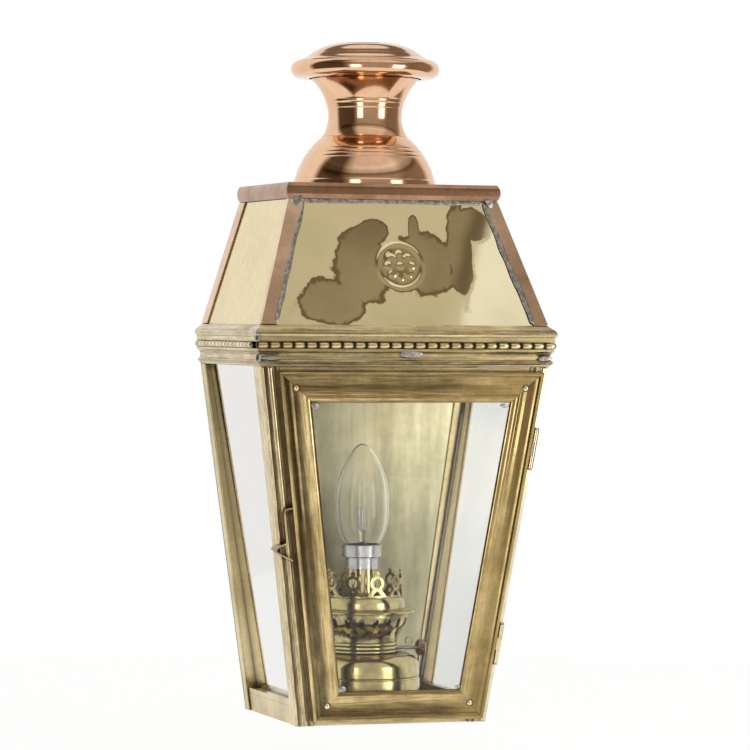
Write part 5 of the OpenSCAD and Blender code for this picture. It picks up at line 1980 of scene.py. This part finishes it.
@dataclass
class SolderWork:
    """Solder seams and blobs where sheets meet.

    A blob has its centre, the outward direction of its surface, its size and a seed. One on
    the door has its place across and up the slope instead, and stands door_out in front of it.
    Places on the roof are those of its right half. The smoothing is the width in values of the
    moving means: of a seam's width, height and drift, and of a blob's rim and face.
    """

    around: int = 12
    step: float = 0.9
    width_lumps: float = 0.22
    height_lumps: float = 0.3
    drift: float = 0.12
    sunk: float = 0.25
    turns: int = 28
    rows: int = 9
    rim_lumps: float = 0.28
    face_lumps: float = 0.25
    underside: float = 0.2
    smoothing: Tuple[int, int, int] = (17, 13, 25)
    blob_smoothing: Tuple[int, int] = (5, 3)
    crease: float = 60.0
    seam_height: float = 0.35
    tray_end: Point = (61.0, -111.5, 188.6)
    tray_seam_width: float = 3.0
    tray_seed: int = 40
    hip_foot: Point = (87.3, -138.4, 110.0)
    hip_top: Point = (61.6, -111.9, 188.6)
    hip_seam_width: float = 3.4
    hip_seeds: Tuple[int, int] = (20, 25)
    corner: Point = (66.5, -112.2, 190.4)
    corner_tilt: Point = (0.2, -0.95, 0.2)
    corner_size: Point = (4.4, 5.6, 0.6)
    corner_seeds: Tuple[int, int] = (60, 61)
    roof_tilt: Point = (0.0, -0.949, 0.315)
    door_tilt: Point = (0.0, -0.994, -0.107)
    door_out: float = 4.6
    door_seed: int = 80
    cornice_blobs: Tuple[Tuple[Any, ...], ...] = (
        ((-100.4, -142.6, 100.6), (-0.6, -0.8, 0.0), (1.7, 2.4, 0.3), 70),
        ((-99.8, -141.8, 87.6), (-0.6, -0.8, 0.0), (1.8, 2.6, 0.3), 71),
        ((-91.0, -142.0, 87.4), (0.0, -1.0, 0.0), (7.0, 1.0, 0.2), 72),
        ((2.0, -142.0, 90.2), (0.0, -1.0, 0.0), (8.0, 2.2, 0.25), 73),
        ((28.0, -142.0, 99.6), (0.0, -1.0, 0.0), (12.0, 0.9, 0.2), 74),
        ((94.0, -142.0, 87.6), (0.0, -1.0, 0.0), (5.0, 1.4, 0.2), 75))
    door_blobs: Tuple[Tuple[Any, ...], ...] = (
        (-61.6, 208.6, (2.6, 2.2, 0.6)), (-36.0, 24.6, (2.8, 2.2, 0.6)),
        (66.6, 208.8, (3.2, 1.3, 0.4)), (42.8, 24.4, (2.2, 1.4, 0.4)))

    def seam(
        self, name: str, start: Sequence[float], end: Sequence[float], out: Sequence[float],
        width: float, height: float, seed: int,
    ) -> Tuple[np.ndarray, np.ndarray]:
        """A lumpy half-round run of solder between two points.

        At share t of its length and angle a round its section, a point is the line's point
        plus the side direction times w(t) cos a and the outward direction times h(t) sin a,
        flattened below the surface. Width and height carry smoothed noise and fade at the ends.

        Args:
            name: Its name, for the log.
            start: One end.
            end: The other end.
            out: Outward direction of the surface that it lies on.
            width: Full width.
            height: Height above the surface.
            seed: Seed of the lumps.

        Returns:
            Points and faces.
        """
        p, q, n = (np.asarray(value, float) for value in (start, end, out))
        run = q - p
        length = np.linalg.norm(run)
        n = n / np.linalg.norm(n)
        side = np.cross(run / length, n)
        steps = max(10, int(length / self.step))
        t = np.linspace(0, 1, steps)
        fade = np.clip(1 - np.abs(2 * t - 1) ** max(4.0, length / 3), 0, 1) ** 0.5
        wide, high, aside = (noise_along(steps, seed + k, smooth)
                             for k, smooth in enumerate(self.smoothing))
        w = width / 2 * fade * (1 + self.width_lumps * wide)
        h = height * fade * (1 + self.height_lumps * high)
        drift = self.drift * width * aside * fade
        a = np.linspace(0, 2 * math.pi, self.around, endpoint=False)[None, :]
        lift = np.sin(a) * np.where(np.sin(a) > 0, h[:, None], self.sunk * fade[:, None])
        line = p + run * t[:, None]
        points = (line[:, None, :] + side * (w[:, None] * np.cos(a) + drift[:, None])[..., None]
                  + n * lift[..., None])
        LOG.info("solder %s, %.0f mm", name, length)
        return points.reshape(-1, 3), grid_faces(steps, self.around, False, True)

    def blob(
        self, centre: Sequence[float], out: Sequence[float], size: Tuple[float, float, float],
        seed: int,
    ) -> Tuple[np.ndarray, np.ndarray]:
        """A flattened lump of solder with an uneven edge.

        At polar angle p and turn t the point is the centre plus k (a cos t e + b sin t f) sin p
        plus h cos p n, where e and f lie in the surface, f nearest to upright, and k is one plus
        smoothed noise of the turn. Below the surface h is reduced to its underside share.

        Args:
            centre: Its middle.
            out: Outward direction of the surface.
            size: Half width, half length upwards and height.
            seed: Seed of its edge.

        Returns:
            Points and faces.
        """
        n = np.asarray(out, float)
        n /= np.linalg.norm(n)
        e = np.cross((0.0, 0.0, 1.0), n)
        e /= np.linalg.norm(e)
        f = np.cross(n, e)
        turns, rows = self.turns, self.rows
        rim_smooth, face_smooth = self.blob_smoothing
        t = np.linspace(0, 2 * math.pi, turns, endpoint=False)[None, :, None]
        p = np.linspace(0, math.pi, rows)[:, None, None]
        rim = noise_along(turns, seed, rim_smooth)
        k = 1 + self.rim_lumps * (rim * np.hanning(turns))[None, :, None]
        a, b, h = size
        height = np.cos(p) * np.where(np.cos(p) > 0, h, self.underside * h)
        grain = noise_along(turns * rows, seed + 1, face_smooth).reshape(rows, turns, 1)
        lump = 1 + self.face_lumps * grain * np.sin(p)
        outline = a * np.cos(t) * e + b * np.sin(t) * f
        points = np.asarray(centre, float) + k * np.sin(p) * outline + height * lump * n
        return points.reshape(-1, 3), grid_faces(rows, turns, False, True)

    def gather(self, name: str, body: str, runs: Sequence[Tuple[np.ndarray, Any]]) -> None:
        """Joins several runs into one piece of solder on a body."""
        stands_for(together(name, runs, Finish.SOLDER, self.crease), body, "steel")

    def build(self) -> None:
        """Seams and blobs of the roof, the cornice and the door."""
        left, right = (np.array((side, 1.0, 1.0)) for side in (-1.0, 1.0))
        roof = [self.seam("tray front", self.tray_end * left, self.tray_end * right,
                          self.roof_tilt, self.tray_seam_width, self.seam_height, self.tray_seed)]
        for flip, hip_seed, corner_seed in zip((left, right), self.hip_seeds, self.corner_seeds):
            roof.append(self.seam("hip", self.hip_foot * flip, self.hip_top * flip, self.roof_tilt,
                                  self.hip_seam_width, self.seam_height, hip_seed))
            roof.append(self.blob(self.corner * flip, self.corner_tilt * flip, self.corner_size,
                                  corner_seed))
        self.gather("solder_roof", "lantern", roof)
        self.gather("solder_cornice", "lantern", [self.blob(*blob) for blob in self.cornice_blobs])
        door = []
        for x, up, size in self.door_blobs:
            spot = on_front(np.array(x), np.array(up), np.array(self.door_out))
            door.append(self.blob(spot, self.door_tilt, size, int(self.door_seed + up + x)))
        self.gather("solder_door", "door", door)


def main() -> None:
    """Builds the studio and the lantern's sub-assemblies in order."""
    logging.basicConfig(level=logging.INFO, format="%(name)s: %(message)s")
    Studio().build()
    for part in (GlazedBody(), BeadedCornice(), SheetRoof(), SpunChimney(), HingedDoor(),
                 MockOilLamp(), CandleBulb(), SolderWork()):
        part.build()
        LOG.info("built %s", type(part).__name__)


if __name__ == "__main__":
    main()
